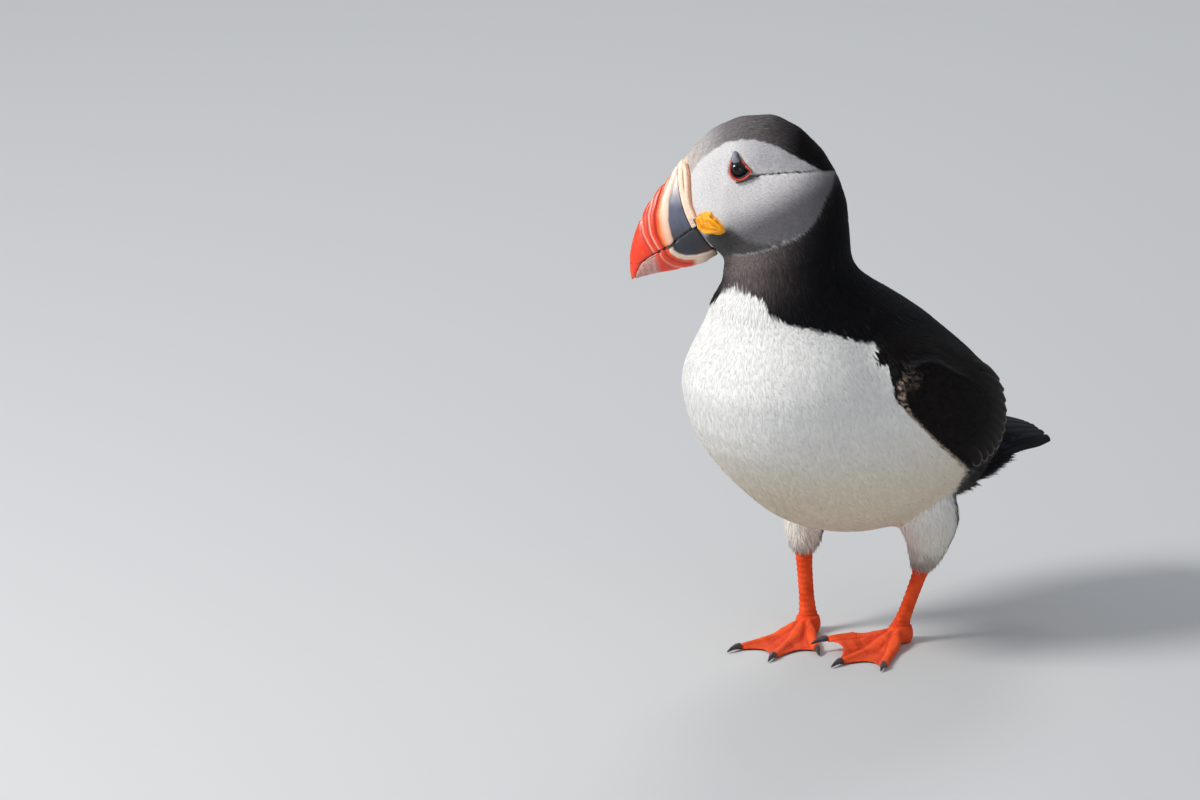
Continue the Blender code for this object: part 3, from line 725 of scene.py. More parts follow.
def vane_group():
    """Slanting barbs and a raised shaft on a broad feather."""
    group, inside = new_group("vane_barbs", Barbs=40.0, Contrast=0.2)
    lie = add_node(group, "UVMap", uv_map="Lie").outputs[0]
    across, along, _ = add_node(group, "SeparateXYZ", {0: lie}).outputs
    from_middle = calculate(group, "SUBTRACT", calculate(group, "FRACT", across), 0.5)
    from_shaft = calculate(group, "ABSOLUTE", from_middle)
    slant = calculate(group, "MULTIPLY_ADD", from_shaft, -0.9, along)
    wave = calculate(group, "SINE", calculate(group, "MULTIPLY", slant, inside["Barbs"]))
    spread = add_node(group, "TexNoise", {"Vector": lie, "Scale": 6.0}).outputs["Fac"]
    barbs = calculate(group, "MULTIPLY", wave, spread)
    shaft = calculate(group, "COMPARE", from_shaft, 0.0, 0.035)
    return put_out(group, calculate(group, "MULTIPLY_ADD", barbs, inside["Contrast"], 1.0),
                   calculate(group, "MULTIPLY_ADD", shaft, 1.2, barbs))


def skin_grain_group():
    """Fine grain of bare skin and horn: cells with creases between them."""
    group, inside = new_group("skin_grain", Cells=900.0, Contrast=0.2)
    place = add_node(group, "TexCoord").outputs["Object"]
    cells = add_node(group, "TexVoronoi", {"Vector": place, "Scale": inside["Cells"]},
                     feature="DISTANCE_TO_EDGE")
    cloud = add_node(group, "TexNoise", {"Vector": place, "Scale": 260.0, "Detail": 4.0}).outputs["Fac"]
    crease = calculate(group, "MINIMUM", calculate(group, "MULTIPLY", cells.outputs[0], 5.0), 1.0)
    swing = calculate(group, "SUBTRACT", cloud, 0.5)
    both = calculate(group, "ADD", swing, calculate(group, "MULTIPLY", crease, 0.25))
    return put_out(group, calculate(group, "MULTIPLY_ADD", both, inside["Contrast"], 0.97),
                   calculate(group, "ADD", crease, cloud))


BARBS, VANE, GRAIN = barb_group(), vane_group(), skin_grain_group()


def new_material(name, **shader_values):
    material = bpy.data.materials.new(name)
    material.use_nodes = True
    shader = material.node_tree.nodes["Principled BSDF"]
    for socket, value in shader_values.items():
        shader.inputs[socket.replace("_", " ")].default_value = value
    return material, material.node_tree, shader


def finish_of(name, group, settings, bump, relief, **shader_values):
    """A material whose colour is the piece's own tint, broken up by one of the shared patterns."""
    material, tree, shader = new_material(name, **shader_values)
    pattern = tree.nodes.new("ShaderNodeGroup")
    pattern.node_tree = group
    for socket, value in settings.items():
        pattern.inputs[socket].default_value = value
    tint = add_node(tree, "Attribute", attribute_name="Tint").outputs["Color"]
    shaded = add_node(tree, "VectorMath", {0: tint, "Scale": pattern.outputs["Shade"]}, operation="SCALE")
    raised = add_node(tree, "Bump", {
        "Strength": bump, "Distance": relief * MM, "Height": pattern.outputs["Height"]})
    tree.links.new(shaded.outputs[0], shader.inputs["Base Color"])
    tree.links.new(raised.outputs[0], shader.inputs["Normal"])
    return material


white_down = finish_of("white_down", BARBS, {"Across": 5.0, "Along": 1.2, "Contrast": 0.1}, 0.12, 0.1,
                       Roughness=0.85, Specular_IOR_Level=0.15, Sheen_Weight=0.12, Sheen_Roughness=0.5)
face_down = finish_of("face_down", BARBS, {"Across": 4.0, "Along": 1.2, "Contrast": 0.16}, 0.15, 0.06,
                      Roughness=0.8, Specular_IOR_Level=0.15, Sheen_Weight=0.08, Sheen_Roughness=0.5)
black_feather = finish_of("black_feather", BARBS, {"Across": 5.0, "Along": 1.3, "Contrast": 0.45}, 0.3, 0.12,
                          Roughness=0.6, Specular_IOR_Level=0.08)
wing_vane = finish_of("wing_vane", VANE, {"Barbs": 46.0, "Contrast": 0.35}, 0.5, 0.15,
                      Roughness=0.55, Specular_IOR_Level=0.05)
under_skin = finish_of("under_skin", GRAIN, {"Cells": 700.0, "Contrast": 0.2}, 0.3, 0.2, Roughness=0.9)
leg_skin = finish_of("leg_skin", GRAIN, {"Cells": 1500.0, "Contrast": 0.3}, 0.55, 0.12,
                     Roughness=0.42, Specular_IOR_Level=0.45, Subsurface_Weight=0.12, Subsurface_Scale=0.0015)


# --- one skin -------------------------------------------------------------------------------------
def put_together(first, second):
    """Both meshes as one, the second's faces with the second material."""
    joined = bmesh.new()
    joined.from_mesh(first)
    count = len(joined.faces)
    joined.from_mesh(second)
    joined.faces.ensure_lookup_table()
    for face in joined.faces[count:]:
        face.material_index = 1
    return mesh_of("skin", joined)


def unwrap(thing):
    """An unwrap of the piece's own shape."""
    thing.data.uv_layers.new(name="OFBake")
    for other in bpy.context.view_layer.objects:
        other.select_set(False)
    thing.select_set(True)
    bpy.context.view_layer.objects.active = thing
    bpy.ops.object.mode_set(mode="EDIT")
    bpy.ops.mesh.select_all(action="SELECT")
    bpy.ops.uv.smart_project(angle_limit=math.radians(60), island_margin=0.002)
    bpy.ops.object.mode_set(mode="OBJECT")


body_faces = len(skin_mesh.polygons)
whole_skin = put_together(skin_mesh, leg_mesh)
set_colours(whole_skin, np.concatenate([skin_colours_in_painted_shade, leg_colours]))
unwrap(show("skin", whole_skin, (under_skin, leg_skin), FEATHERED + BARE))


# --- tufts and vanes ------------------------------------------------------------------------------
def tuft_shape(prongs, split, seed, long_prongs=True):
    """A tuft that frays into prongs: places along, across and above it, and its triangles."""
    own = np.random.default_rng(seed)
    spots = [(0.0, -0.3), (0.0, 0.3), (split * 0.5, -0.8), (split * 0.5, 0.0), (split * 0.5, 0.8)]
    first = len(spots)
    middle = first + prongs // 2
    spots += [(split + own.uniform(-0.05, 0.05), b) for b in np.linspace(-1, 1, prongs + 1)]
    corners = [(0, 1, 3), (0, 3, 2), (1, 4, 3), (2, 3, middle), (3, 4, middle)]
    corners += [(2, k + 1, k) for k in range(first, middle)]
    corners += [(4, k + 1, k) for k in range(middle, first + prongs)]
    for left in range(first, first + prongs):
        b = (spots[left][1] + spots[left + 1][1]) / 2
        reach = 1.0 - 0.22 * abs(b) ** 1.5 + own.uniform(-0.12, 0.08)
        bend = b * own.uniform(0.7, 1.15) + own.uniform(-0.12, 0.12)
        new = len(spots)
        if long_prongs:
            half = 0.62 / prongs
            a = (split + reach) / 2
            spots += [(a, (b + bend) / 2 - half), (a, (b + bend) / 2 + half), (reach, bend)]
            corners += [(left, left + 1, new + 1), (left, new + 1, new), (new, new + 1, new + 2)]
        else:
            spots.append((reach, bend))
            corners.append((left, left + 1, new))
    along, across = np.array(spots).T
    return along, across, 0.35 * (1 - np.clip(np.abs(across), 0, 1) ** 2), np.array(corners)


def sheet_corners(rows, columns):
    """Triangles of a sheet of rows and columns of places."""
    corners = []
    for low in range((rows - 1) * columns):
        if (low + 1) % columns:
            high = low + columns
            corners += [(low, low + 1, high + 1), (low, high + 1, high)]
    return np.array(corners)


def vane_shape(rows, columns, point):
    """A broad feather with a rounded end and a raised middle."""
    along = np.linspace(0, 1, rows) ** 0.9
    breadth = np.sqrt(np.clip(1 - ((along - 0.55) / 0.62) ** 2, 0, 1))
    breadth = np.where(along < 0.55, 0.35 + 0.65 * ease(0, 0.5, along), breadth)
    breadth[-1] = point
    across = np.linspace(-1, 1, columns)
    off_middle = np.abs(np.tile(across, rows))
    a = np.repeat(along, columns)
    a = a - 0.05 * off_middle * (a > 0.6)
    b = (breadth[:, None] * across[None, :]).ravel()
    return a, b, 0.25 * (1 - off_middle), sheet_corners(rows, columns)


FRAYED = [tuft_shape(4, 0.5, seed) for seed in range(4)]
SHORT = [tuft_shape(4, 0.55, seed, False) for seed in range(10, 14)]
ROUND = [vane_shape(6, 5, 0.28), vane_shape(6, 5, 0.4)]

# The skin's four-cornered faces, on which the tufts are sown.
whole_points, _ = arrays_of(whole_skin)
whole_normals = normals_of(whole_skin)
quads = [p for p in whole_skin.polygons[:body_faces] if len(p.vertices) == 4]
quad_corners = np.array([p.vertices[:] for p in quads])
quad_loops = np.array([p.loop_start for p in quads])[:, None] + np.arange(4)
skin_uv = np.empty(len(whole_skin.loops) * 2)
whole_skin.uv_layers["OFBake"].uv.foreach_get("vector", skin_uv)
quad_uv = skin_uv.reshape(-1, 2)[quad_loops]
quad_points = whole_points[quad_corners]
quad_owner = skin_owner[quad_corners[:, 0]]
quad_area = 0.5 * np.linalg.norm(np.cross(quad_points[:, 2] - quad_points[:, 0],
                                          quad_points[:, 3] - quad_points[:, 1]), axis=1)
body_points = [Vector(p) for p in whole_points[:len(skin_points)]]
skin_tree = BVHTree.FromPolygons(body_points, quad_corners.tolist())

# A smooth curve through the line that the plumage follows, and its direction at each place.
spine = []
for start in range(len(HEAD_TO_TAIL) - 1):
    p = HEAD_TO_TAIL[[max(start - 1, 0), start, start + 1, min(start + 2, len(HEAD_TO_TAIL) - 1)]]
    for t in np.linspace(0, 1, 20, endpoint=False):
        spine.append(0.5 * (2 * p[1] + (p[2] - p[0]) * t + (2 * p[0] - 5 * p[1] + 4 * p[2] - p[3]) * t ** 2
                            + (3 * p[1] - p[0] - 3 * p[2] + p[3]) * t ** 3))
spine = np.array(spine)
spine_ways = unit(np.gradient(spine, axis=0))


def part_round(x, y, way_x, way_y, radius):
    """Turns the lie so that it parts round a spot, as a stream does round a stone."""
    size = np.hypot(way_x, way_y)
    cos, sin = unit(np.stack([way_x, way_y], -1)).T
    along, across = x * cos + y * sin, y * cos - x * sin
    r2 = np.maximum(x * x + y * y, radius * radius)
    v_along = 1 - radius ** 2 * (along ** 2 - across ** 2) / r2 ** 2
    v_across = -radius ** 2 * 2 * along * across / r2 ** 2
    return size * (v_along * cos - v_across * sin), size * (v_along * sin + v_across * cos)


def across_skin(ways, normals):
    """Ways turned so that they lie along the skin."""
    return unit(ways - normals * (ways * normals).sum(-1, keepdims=True))


def lie_of(points, normals, owner):
    """The way the feathers point at each place."""
    ways = np.empty_like(points)
    for low in range(0, len(points), 4000):
        part = points[low:low + 4000]
        near = ((part[:, None, :] - spine[None, :, :]) ** 2).sum(-1)
        ways[low:low + 4000] = np.exp(-(near - near.min(1, keepdims=True)) / 90.0) @ spine_ways
    ways = unit(ways)
    for name, sign in SIDES:
        ways[owner == "thigh_" + name] = unit(np.array([0.1 * sign, 0.15, -1.0]))
        wing = (owner == "wing_" + name) & (inside_wing(*turn_and_height(points)) > 0)
        ways[wing] = unit(AXIS + (20 * sign, 56, 66) - points[wing])
    belly = (owner == "trunk") * ease(62, 50, points[:, 2] - AXIS[2])
    ways = unit(mix(ways, np.array([0, 1.0, -0.15]), belly))
    head = owner == "head"
    _, ahead, up = in_head(points[head])
    to_left, on, upward = (ways[head] @ way for way in (TO_LEFT, AHEAD, UPWARD))
    on, upward = part_round(ahead - EYE_AHEAD, up - EYE_UP, on, upward, 3.7)
    ways[head] = TO_LEFT * to_left[:, None] + AHEAD * on[:, None] + UPWARD * upward[:, None]
    return across_skin(ways, normals)


def sow(nodes, crowd=1.0):
    """Root places over the skin of those solids, evenly crowded."""
    chosen = np.nonzero(np.isin(quad_owner, nodes))[0]
    spacing = np.array([COAT[o][3] for o in quad_owner[chosen]]) / crowd
    count = np.floor(quad_area[chosen] / spacing ** 2 + rng.random(len(chosen))).astype(int)
    quad = np.repeat(chosen, count)
    s, t = rng.random(len(quad)), rng.random(len(quad))
    weights = np.stack([(1 - s) * (1 - t), s * (1 - t), s * t, (1 - s) * t], -1)[..., None]
    normals = unit((whole_normals[quad_corners[quad]] * weights).sum(1))
    return (quad_points[quad] * weights).sum(1), normals, (quad_uv[quad] * weights).sum(1), quad_owner[quad]


def only(roots, keep):
    return tuple(column[keep] for column in roots)


def on_skin(points):
    """The nearest places on the skin, and the outward ways there."""
    found = [skin_tree.find_nearest(Vector(p)) for p in points]
    return np.array([near[0] for near in found]), np.array([near[1] for near in found])


def clear_of_bare_parts(points, owner):
    """Where a tuft may root: off the bill, the eye and the bill's fleshy edge."""
    off_bill = np.array([bill_tree.find_nearest(Vector(p), 0.5)[0] is None for p in points])
    _, ahead, up = in_head(points)
    bare = (past_eye_ring(ahead, up) < -0.2) | ((ahead > at(CERE_REAR, up) - 0.3) & (up > -12))
    return off_bill & ~((owner == "head") & bare)


def size_by_solid(points, owner):
    """Each tuft's length, width and lift, by the solid under it and shorter at the edges of the markings."""
    _, length, width, _, lift = np.array([COAT[o] for o in owner]).T.copy()
    turn, height = turn_and_height(points)
    _, ahead, up = in_head(points)
    head, trunk, thigh = owner == "head", owner == "trunk", np.isin(owner, THIGHS)
    rearward, face = ease(24, -12, ahead), inside_outline(ahead, up, FACE_EDGE)
    share = np.where(head, 0.55 + 0.5 * rearward, 1)
    on_face = head & (face < 0.5)
    for here, shorter in (
            (head, share), (head, 0.5 + 0.5 * ease(0, 3.5, np.abs(face))),
            (head, 0.55 + 0.45 * ease(0, 2.5, distance_to_line(ahead, up, CREASE))),
            (thigh, 0.6 + 0.4 * ease(32, 42, height)),
            (trunk, short_at_collar(points)), (trunk, 1.12 - 0.32 * ease(100, 132, height))):
        length *= np.where(here, shorter, 1)
    width *= np.where(head, 0.7 + 0.35 * rearward, 1)
    width *= np.where(on_face, 0.85, 1)
    lift *= share * np.where(on_face, 0.3, 1)
    vent = trunk * ease(114, 126, turn) * ease(72, 62, height) + (owner == "tail") * ease(63, 58, height)
    return length + 3.5 * vent, width, lift + 3.6 * vent


def short_at_collar(points):
    return 0.42 + 0.58 * ease(0, 7, off_collar(points))


def body_size(points, owner):
    """Body feathers that cover the rim of the wing."""
    _, length, width, _, lift = COAT["trunk"]
    return length * short_at_collar(points), np.full(len(points), width), np.full(len(points), lift)


def edge_size(points, owner):
    """Small dense feathers along the wing's lower edge."""
    return np.tile([[2.0], [0.85], [0.3]], len(points))


def grow(name, roots, material, slot, shapes, sizes=size_by_solid, fray=7,
         root_painted_shade=0.84, tip_painted_light=1.12, roundness=0.5):
    """One piece of coat: a tuft at each root, laid along the skin, with painted shade at the root and painted
    light towards the tip.
    """
    points, normals, uv, owner = only(roots, clear_of_bare_parts(roots[0], roots[3]))
    total = len(points)
    length, width, lift = sizes(points, owner)
    length = (length * rng.uniform(0.8, 1.2, total))[:, None]
    width = width * rng.uniform(0.8, 1.2, total)
    lift = lift * rng.uniform(0.45, 1.1, total)

    # Each tuft is led by its root, middle and end, which hang free at the thighs' lower ends.
    ways = lie_of(points, normals, owner)
    swing = np.radians(rng.normal(0, fray, total))[:, None]
    ways = ways * np.cos(swing) + np.cross(normals, ways) * np.sin(swing)
    middle, middle_normal = on_skin(points + ways * length * 0.5)
    end, end_normal = on_skin(middle + across_skin(unit(middle - points), middle_normal) * length * 0.5)
    hang = np.isin(owner, THIGHS) * ease(46, 34, points[:, 2] - AXIS[2])
    middle = mix(middle, points + ways * length * 0.5, hang)
    end = mix(end, points + ways * length + np.array([0, 0, -1.0]) * (length * 0.1), hang)
    middle_normal, end_normal = unit(mix(middle_normal, normals, hang)), unit(mix(end_normal, normals, hang))

    tint = plumage_colour(points + (middle - points) * 1.1, owner)
    uneven = 0.03 + 0.15 * (tint.mean(-1) < 0.12)
    tint = tint * np.clip(1 + rng.normal(0, 1, total) * uneven, 0.6, 1.5)[:, None]
    pick = rng.integers(0, len(shapes), total)
    blocks, start = [], 0
    for k, (a, b, c, corners) in enumerate(shapes):
        mine = pick == k
        n = mine.sum()
        along, across, above = a[None, :, None], b[None, :, None], c[None, :]
        (p0, p1, p2), (n0, n1, n2) = (
            [three[mine][:, None] for three in threes]
            for threes in ((points, middle, end), (normals, middle_normal, end_normal)))
        early, centre, late = (1 - along) * (1 - 2 * along), 4 * along * (1 - along), along * (2 * along - 1)
        line = p0 * early + p1 * centre + p2 * late
        upright = unit(n0 * early + n1 * centre + n2 * late)
        forward = unit(p0 * (4 * along - 3) + p1 * (4 - 8 * along) + p2 * (4 * along - 1))
        sideways = np.cross(upright, forward)
        half = width[mine][:, None] * 0.5
        rise = lift[mine][:, None] * a[None, :] ** 1.3 + 0.6 * half * above - 0.12 * (1 - a[None, :])
        spots = line + sideways * (across * half[..., None]) + upright * rise[..., None]
        slope = lift[mine][:, None, None] / length[mine][:, None]
        normal = unit(upright + sideways * (across * roundness) - forward * slope * 0.8)
        # Painted shade at each tuft's root, where it lies under the others, fading to painted light at its
        # tip.
        colours = tint[mine][:, None] * (root_painted_shade + (tip_painted_light - root_painted_shade) * along)
        cell = rng.integers(0, 50, n)[:, None]
        lie = np.stack([(b * 0.5 + 0.5) * 0.98 + 0.01 + cell, a + cell * 0.37], -1)
        patch = uv[mine][:, None] + np.stack([b * 0.0015, (a - 0.5) * 0.003], -1)
        faces = corners[:, ::-1] + start + (np.arange(n) * len(a))[:, None, None]
        start += n * len(a)
        blocks.append([spots, normal, colours, lie, patch, faces])
    coat_piece(name, blocks, material)


def coat_piece(name, blocks, material):
    """One mesh from blocks of places, normals, colours, lie, bake patches and faces."""
    spots, normal, colours, lie, patch, faces = (
        np.concatenate([part.reshape(-1, part.shape[-1]) for part in column]) for column in zip(*blocks))
    mesh = bpy.data.meshes.new(name)
    mesh.vertices.add(len(spots))
    mesh.vertices.foreach_set("co", (spots * MM).ravel())
    mesh.loops.add(faces.size)
    mesh.loops.foreach_set("vertex_index", faces.ravel())
    mesh.polygons.add(len(faces))
    mesh.polygons.foreach_set("loop_start", np.arange(len(faces)) * 3)
    mesh.update(calc_edges=True)
    for label, spread in (("OFBake", patch), ("Lie", lie)):
        mesh.uv_layers.new(name=label).uv.foreach_set("vector", spread[faces.ravel()].ravel())
    set_colours(mesh, colours)
    show(name, mesh, material)
    mesh.normals_split_custom_set_from_vertices(normal)


# --- the coat -------------------------------------------------------------------------------------
DOWN = {"material": white_down, "slot": "white_feathers", "shapes": FRAYED}
EVEN_DOWN = {**DOWN, "root_painted_shade": 0.97, "tip_painted_light": 1.02, "roundness": 0.08}
FACE = {"material": face_down, "slot": "face_feathers", "shapes": SHORT,
        "root_painted_shade": 0.96, "tip_painted_light": 1.03, "roundness": 0.12}
BLACK = {"material": black_feather, "slot": "black_feathers", "shapes": FRAYED}
CROWN = {**BLACK, "slot": "face_feathers", "shapes": SHORT}
WING_RIM = {**BLACK, "shapes": SHORT, "sizes": edge_size, "tip_painted_light": 1.1, "roundness": 0.3}
COVERTS = {"material": wing_vane, "slot": "black_feathers", "shapes": ROUND,
           "tip_painted_light": 1.25, "roundness": 0.35}
BELLY_TOP, FLANK_TOP, TAIL_COVERT_END = 84, 116, 80

roots = sow(["head"])
_, ahead, up = in_head(roots[0])
on_face = inside_outline(ahead, up, FACE_EDGE) < 1.0
grow("coat_face", only(roots, on_face), fray=4, **FACE)
grow("coat_crown", only(roots, ~on_face), fray=5, **CROWN)
grow("coat_neck", sow(["neck"]), **BLACK)

roots = sow(["trunk"])
_, height = turn_and_height(roots[0])
pale, high = below_collar(roots[0]) > -1.0, height > BELLY_TOP
for name, sign in SIDES:
    half = pale & ((roots[0][:, 0] - AXIS[0]) * sign >= 0)
    grow("coat_breast_" + name, only(roots, half & high), fray=8, **EVEN_DOWN)
    grow("coat_belly_" + name, only(roots, half & ~high), fray=9, **EVEN_DOWN)
grow("coat_back", only(roots, ~pale), **BLACK)
grow("coat_thighs", sow(THIGHS), fray=13, **DOWN)

for name, _ in SIDES:
    roots = sow(["wing_" + name])
    place = turn_and_height(roots[0])
    covert = (inside_wing(*place) > 2.0) & (above_fold(*place) < 0)
    grow("coverts_" + name, only(roots, covert), fray=5, **COVERTS)
    roots = sow(["wing_" + name], crowd=2.6)
    place = turn_and_height(roots[0])
    edge = inside_wing(*place)
    rim = (edge > -0.2) & (edge < 3.5) & (above_fold(*place) < 0.5)
    grow("wing_edge_" + name, only(roots, rim), fray=9, **WING_RIM)
    roots = sow(["wing_" + name], crowd=1.5)
    place = turn_and_height(roots[0])
    flank = (inside_wing(*place) < 0) & (place[1] < FLANK_TOP)
    grow("flank_" + name, only(roots, flank), sizes=body_size, fray=8, **EVEN_DOWN)
    fold = ~flank & (above_fold(*place) >= 0)
    grow("scapulars_" + name, only(roots, fold), sizes=body_size, fray=6, **BLACK)
roots = sow(["tail"])
grow("tail_coverts", only(roots, roots[0][:, 1] - AXIS[1] < TAIL_COVERT_END), fray=6, **BLACK)


# --- flight and tail feathers ---------------------------------------------------------------------
# Turn and height of the tips of the wing's inner feathers, from the lower edge up.
SECONDARY_TIPS = ((119, 70.0), (128, 71.6), (135, 74.0), (138.5, 78.5), (140.5, 84), (142.5, 90), (145, 96))
# The tail's half width and the height of its middle at distances behind the legs.
TAIL_WIDTH = ((50, 21), (68, 19.5), (79, 17), (88.5, 14), (94.5, 10))
TAIL_HEIGHT = ((50, 65), (68, 67), (79, 66), (88.5, 64.5), (94.5, 63.4))
TAIL_HOLD, TAIL_REACH = 88, 92.0
PATCHES = 6  # the vanes of a piece share its bake map in rows of that many


def quill(places, normals, half_width, tint, cell, rise, edge_tint=None, end=0.35):
    """A long vane along a line of places: its points, normals, colours, maps and faces."""
    t = np.linspace(0, 1, len(places))[:, None]
    b = np.linspace(-1, 1, 7)
    breadth = half_width * (0.5 + 0.5 * ease(0, 0.35, t))
    breadth = breadth * np.where(t > 0.72, np.sqrt(np.clip(1 - ((t - 0.72) / 0.3) ** 2, end ** 2, 1)), 1)
    across = unit(np.cross(normals, unit(np.gradient(places, axis=0))))[:, None]
    height = rise[:, None] + 0.35 * (1 - np.abs(b) ** 1.5)
    place = places[:, None] + across * (b * breadth)[..., None] + normals[:, None] * height[..., None]
    normal = unit(normals[:, None] + across * (b * 0.5)[:, None])
    # Painted shade at the vane's root, fading to painted light towards its tip.
    colour = tint * np.broadcast_to(0.9 + 0.25 * t, height.shape)[..., None]
    if edge_tint is not None:
        rim = np.maximum(ease(0.93, 0.99, t), ease(0.7, 1.0, np.abs(b)) * ease(0.6, 0.95, t))
        colour = mix(colour, edge_tint, rim * 0.5)
    lie = np.stack(np.broadcast_arrays(b * 0.49 + 0.5 + cell, t * 3), -1)
    column, row = cell % PATCHES + 0.5 + b * 0.44, cell // PATCHES + 0.05 + 0.9 * t
    patch = np.stack(np.broadcast_arrays(column, row), -1) / PATCHES
    return [place, normal, colour, lie, patch, sheet_corners(*height.shape)[:, [0, 2, 1]]]


def show_quills(name, vanes):
    start = 0
    for vane in vanes:
        vane[5] = vane[5] + start
        start += vane[0].size // 3
    coat_piece(name, vanes, wing_vane)


def around_body(turn, height, sign):
    """A place on the skin at that turn from the breast and that height, and the outward way there."""
    a = math.radians(turn) * sign
    out = np.array([math.sin(a), -math.cos(a), 0.0])
    place, normal, _, _ = skin_tree.ray_cast(Vector(AXIS + out * 120 + (0, 0, height)), Vector(-out))
    return np.array(place), np.array(normal)


def wing_quills(name, sign):
    """Primaries along the wing's lower edge, under secondaries whose tips end at its rear edge."""
    plans = [((110 + 3 * k, 78 - k), (150 + 2.4 * k, 69.5 + 1.1 * k), 2.6, 0.2 + 0.08 * k, None)
             for k in range(6)]
    rows = range(len(SECONDARY_TIPS))
    for k in range(11):
        turn, height = (np.interp(k / 10 * rows[-1], rows, column) for column in zip(*SECONDARY_TIPS))
        plans.append(((turn - 22, height + 12), (turn, height), 2.7, 0.75 + 0.05 * k, WING_EDGE_TAN))
    vanes = []
    for cell, (root, tip, half, rise, edge) in enumerate(plans):
        places, normals = [], []
        for t in np.linspace(0, 1, 14):
            turn = root[0] + (tip[0] - root[0]) * t
            height = root[1] + (tip[1] - root[1]) * t + 1.2 * math.sin(math.pi * t)
            place, normal = around_body(turn, height, sign)
            places.append(place)
            normals.append(normal)
        lift = (rise + 0.45) * np.linspace(0, 1, 14) ** 0.8 - 0.45
        tint = WING_BROWN * rng.uniform(0.8, 1.2)
        places, normals = soften_row(np.array(places), 6), unit(soften_row(np.array(normals), 6))
        vanes.append(quill(places, normals, half, tint, cell, lift, edge))
    show_quills("quills_" + name, vanes)


def tail_quills():
    """Tail feathers from its middle down round its sides, which end in a blunt uneven row."""
    vanes = []
    for step in range(8, -1, -1):
        for sign in ((1.0, -1.0) if step else (1.0,)):
            a = math.radians(12.5 * step)
            along = np.linspace(50, TAIL_REACH - 0.02 * step ** 2 + rng.uniform(-1.5, 0.9), 12)
            held = np.minimum(along, TAIL_HOLD)
            side = sign * at(TAIL_WIDTH, held) * 1.1 * math.sin(a)
            height = at(TAIL_HEIGHT, held) + 7 * math.cos(a) - 3 * math.sin(a) ** 2
            places, normals = on_skin(AXIS + np.stack([side, held, height], -1))
            places = places + (along - held)[:, None] * np.array([0, 1.0, -0.45 * math.cos(a)])
            places, normals = soften_row(places, 4), unit(soften_row(normals, 8))
            rise = np.linspace(-0.2, 0.35, 12) + 0.06 * (8 - step)
            tint = mix(TAIL_BLACK, TAIL_BLUE, rng.uniform(0, 0.7))
            vanes.append(quill(places, normals, 2.2, tint, len(vanes), rise, end=0.6))
    show_quills("quills_tail", vanes)


for name, sign in SIDES:
    wing_quills(name, sign)
tail_quills()


# --- bill -----------------------------------------------------------------------------------------
BILL_RED = paint(228, 62, 34)
BILL_ORANGE = paint(238, 122, 52)
BILL_ROSE = paint(240, 150, 126)
BILL_CREAM = paint(242, 220, 198)
CULMEN_CREAM = paint(248, 232, 220)
PLATE_BLUE = paint(92, 98, 116)
PLATE_GREY_BLUE = paint(170, 167, 178)
PLATE_DARK = paint(50, 53, 62)
PLATE_LOW = paint(74, 74, 84)
GROOVE_PAINTED_SHADE = paint(150, 26, 14)
GROOVE_PAINTED_HIGHLIGHT = paint(248, 196, 176)
TIP_PINK = paint(214, 170, 158)
TIP_GREY = paint(160, 138, 140)
GAPE_PAINTED_SHADE = paint(44, 42, 48)
HORN_BROWN = paint(112, 62, 38)

# Lines across the bill as (up, forward), from the lower edge to the culmen.
PLATE_FRONT = (
    (-24, 31.5), (-20, 33.2), (-17.2, 34.3), (-11.8, 35.5), (-4.5, 35.3), (1.6, 33.7), (6.6, 32.1),
    (10, 30.8),
)
BAND_FRONT = (
    (-24, 34.6), (-20.2, 36.9), (-16.8, 38.3), (-9.9, 39.1), (-3.8, 38.0), (1.6, 35.7), (5.4, 33.9),
    (10, 31.6),
)
CERE_FRONT = (
    (-13.0, 25.6), (-10.3, 27.9), (-6.8, 29.5), (-3.8, 30.1), (0.0, 30.7), (4.0, 31.0), (7.3, 31.0),
    (10.4, 30.7),
)
CERE_BACK = ((-13.5, 24.9), (-10.6, 27.0), (-7.2, 28.4), (0.0, 29.7), (8, 29.6), (9.4, 30.0))
# Lines along the bill as (forward, up).
GAPE_LINE = (
    (25.2, -13.7), (28.8, -16.3), (32.1, -18.9), (35.1, -21.3), (38.7, -23.8), (42.4, -25.9), (47, -28),
)
LOWER_PLATE = (
    (25.8, -13.9), (22.5, -14.6), (19.4, -17.6), (17.6, -20.4), (18.0, -21.9), (21.0, -23.4), (25.4, -24.5),
    (29.0, -24.6), (31.6, -23.9), (33.4, -22.6), (34.0, -21.0), (33.9, -19.4),
)
LOWER_REAR = ((25.6, -13.2), (22.4, -15.2), (19.4, -18.6), (16.4, -23.0), (16.2, -25.4))
# Grooves ahead of the cream band and round the lower plate: distance, width, depth, colour and strength; the
# colours are painted shade in the grooves and painted highlights along them.
UPPER_GROOVES = (
    (1.2, 0.42, 0.42, GROOVE_PAINTED_SHADE, 0.6), (3.7, 0.5, 0.5, GROOVE_PAINTED_HIGHLIGHT, 0.75),
    (6.3, 0.5, 0.42, GROOVE_PAINTED_HIGHLIGHT, 0.55),
)
LOWER_GROOVES = ((3.2, 0.4, 0.35, GROOVE_PAINTED_SHADE, 0.6), (5.4, 0.4, 0.35, GROOVE_PAINTED_HIGHLIGHT, 0.5))


def groove(distance, width):
    return np.exp(-(distance / width) ** 2)


def gape_tint(colour, ahead, up):
    """Painted shade along the slit between the plates, dark and thinning to a brown line towards the tip."""
    gape = np.abs(up - at(GAPE_LINE, ahead)) * 0.79
    wide = 0.12 + 0.85 * ease(38, 34, ahead)
    tone = mix(HORN_BROWN, GAPE_PAINTED_SHADE, ease(39, 35, ahead))
    return mix(colour, tone, ease(wide, wide * 0.5, gape)), ease(wide, 0, gape)


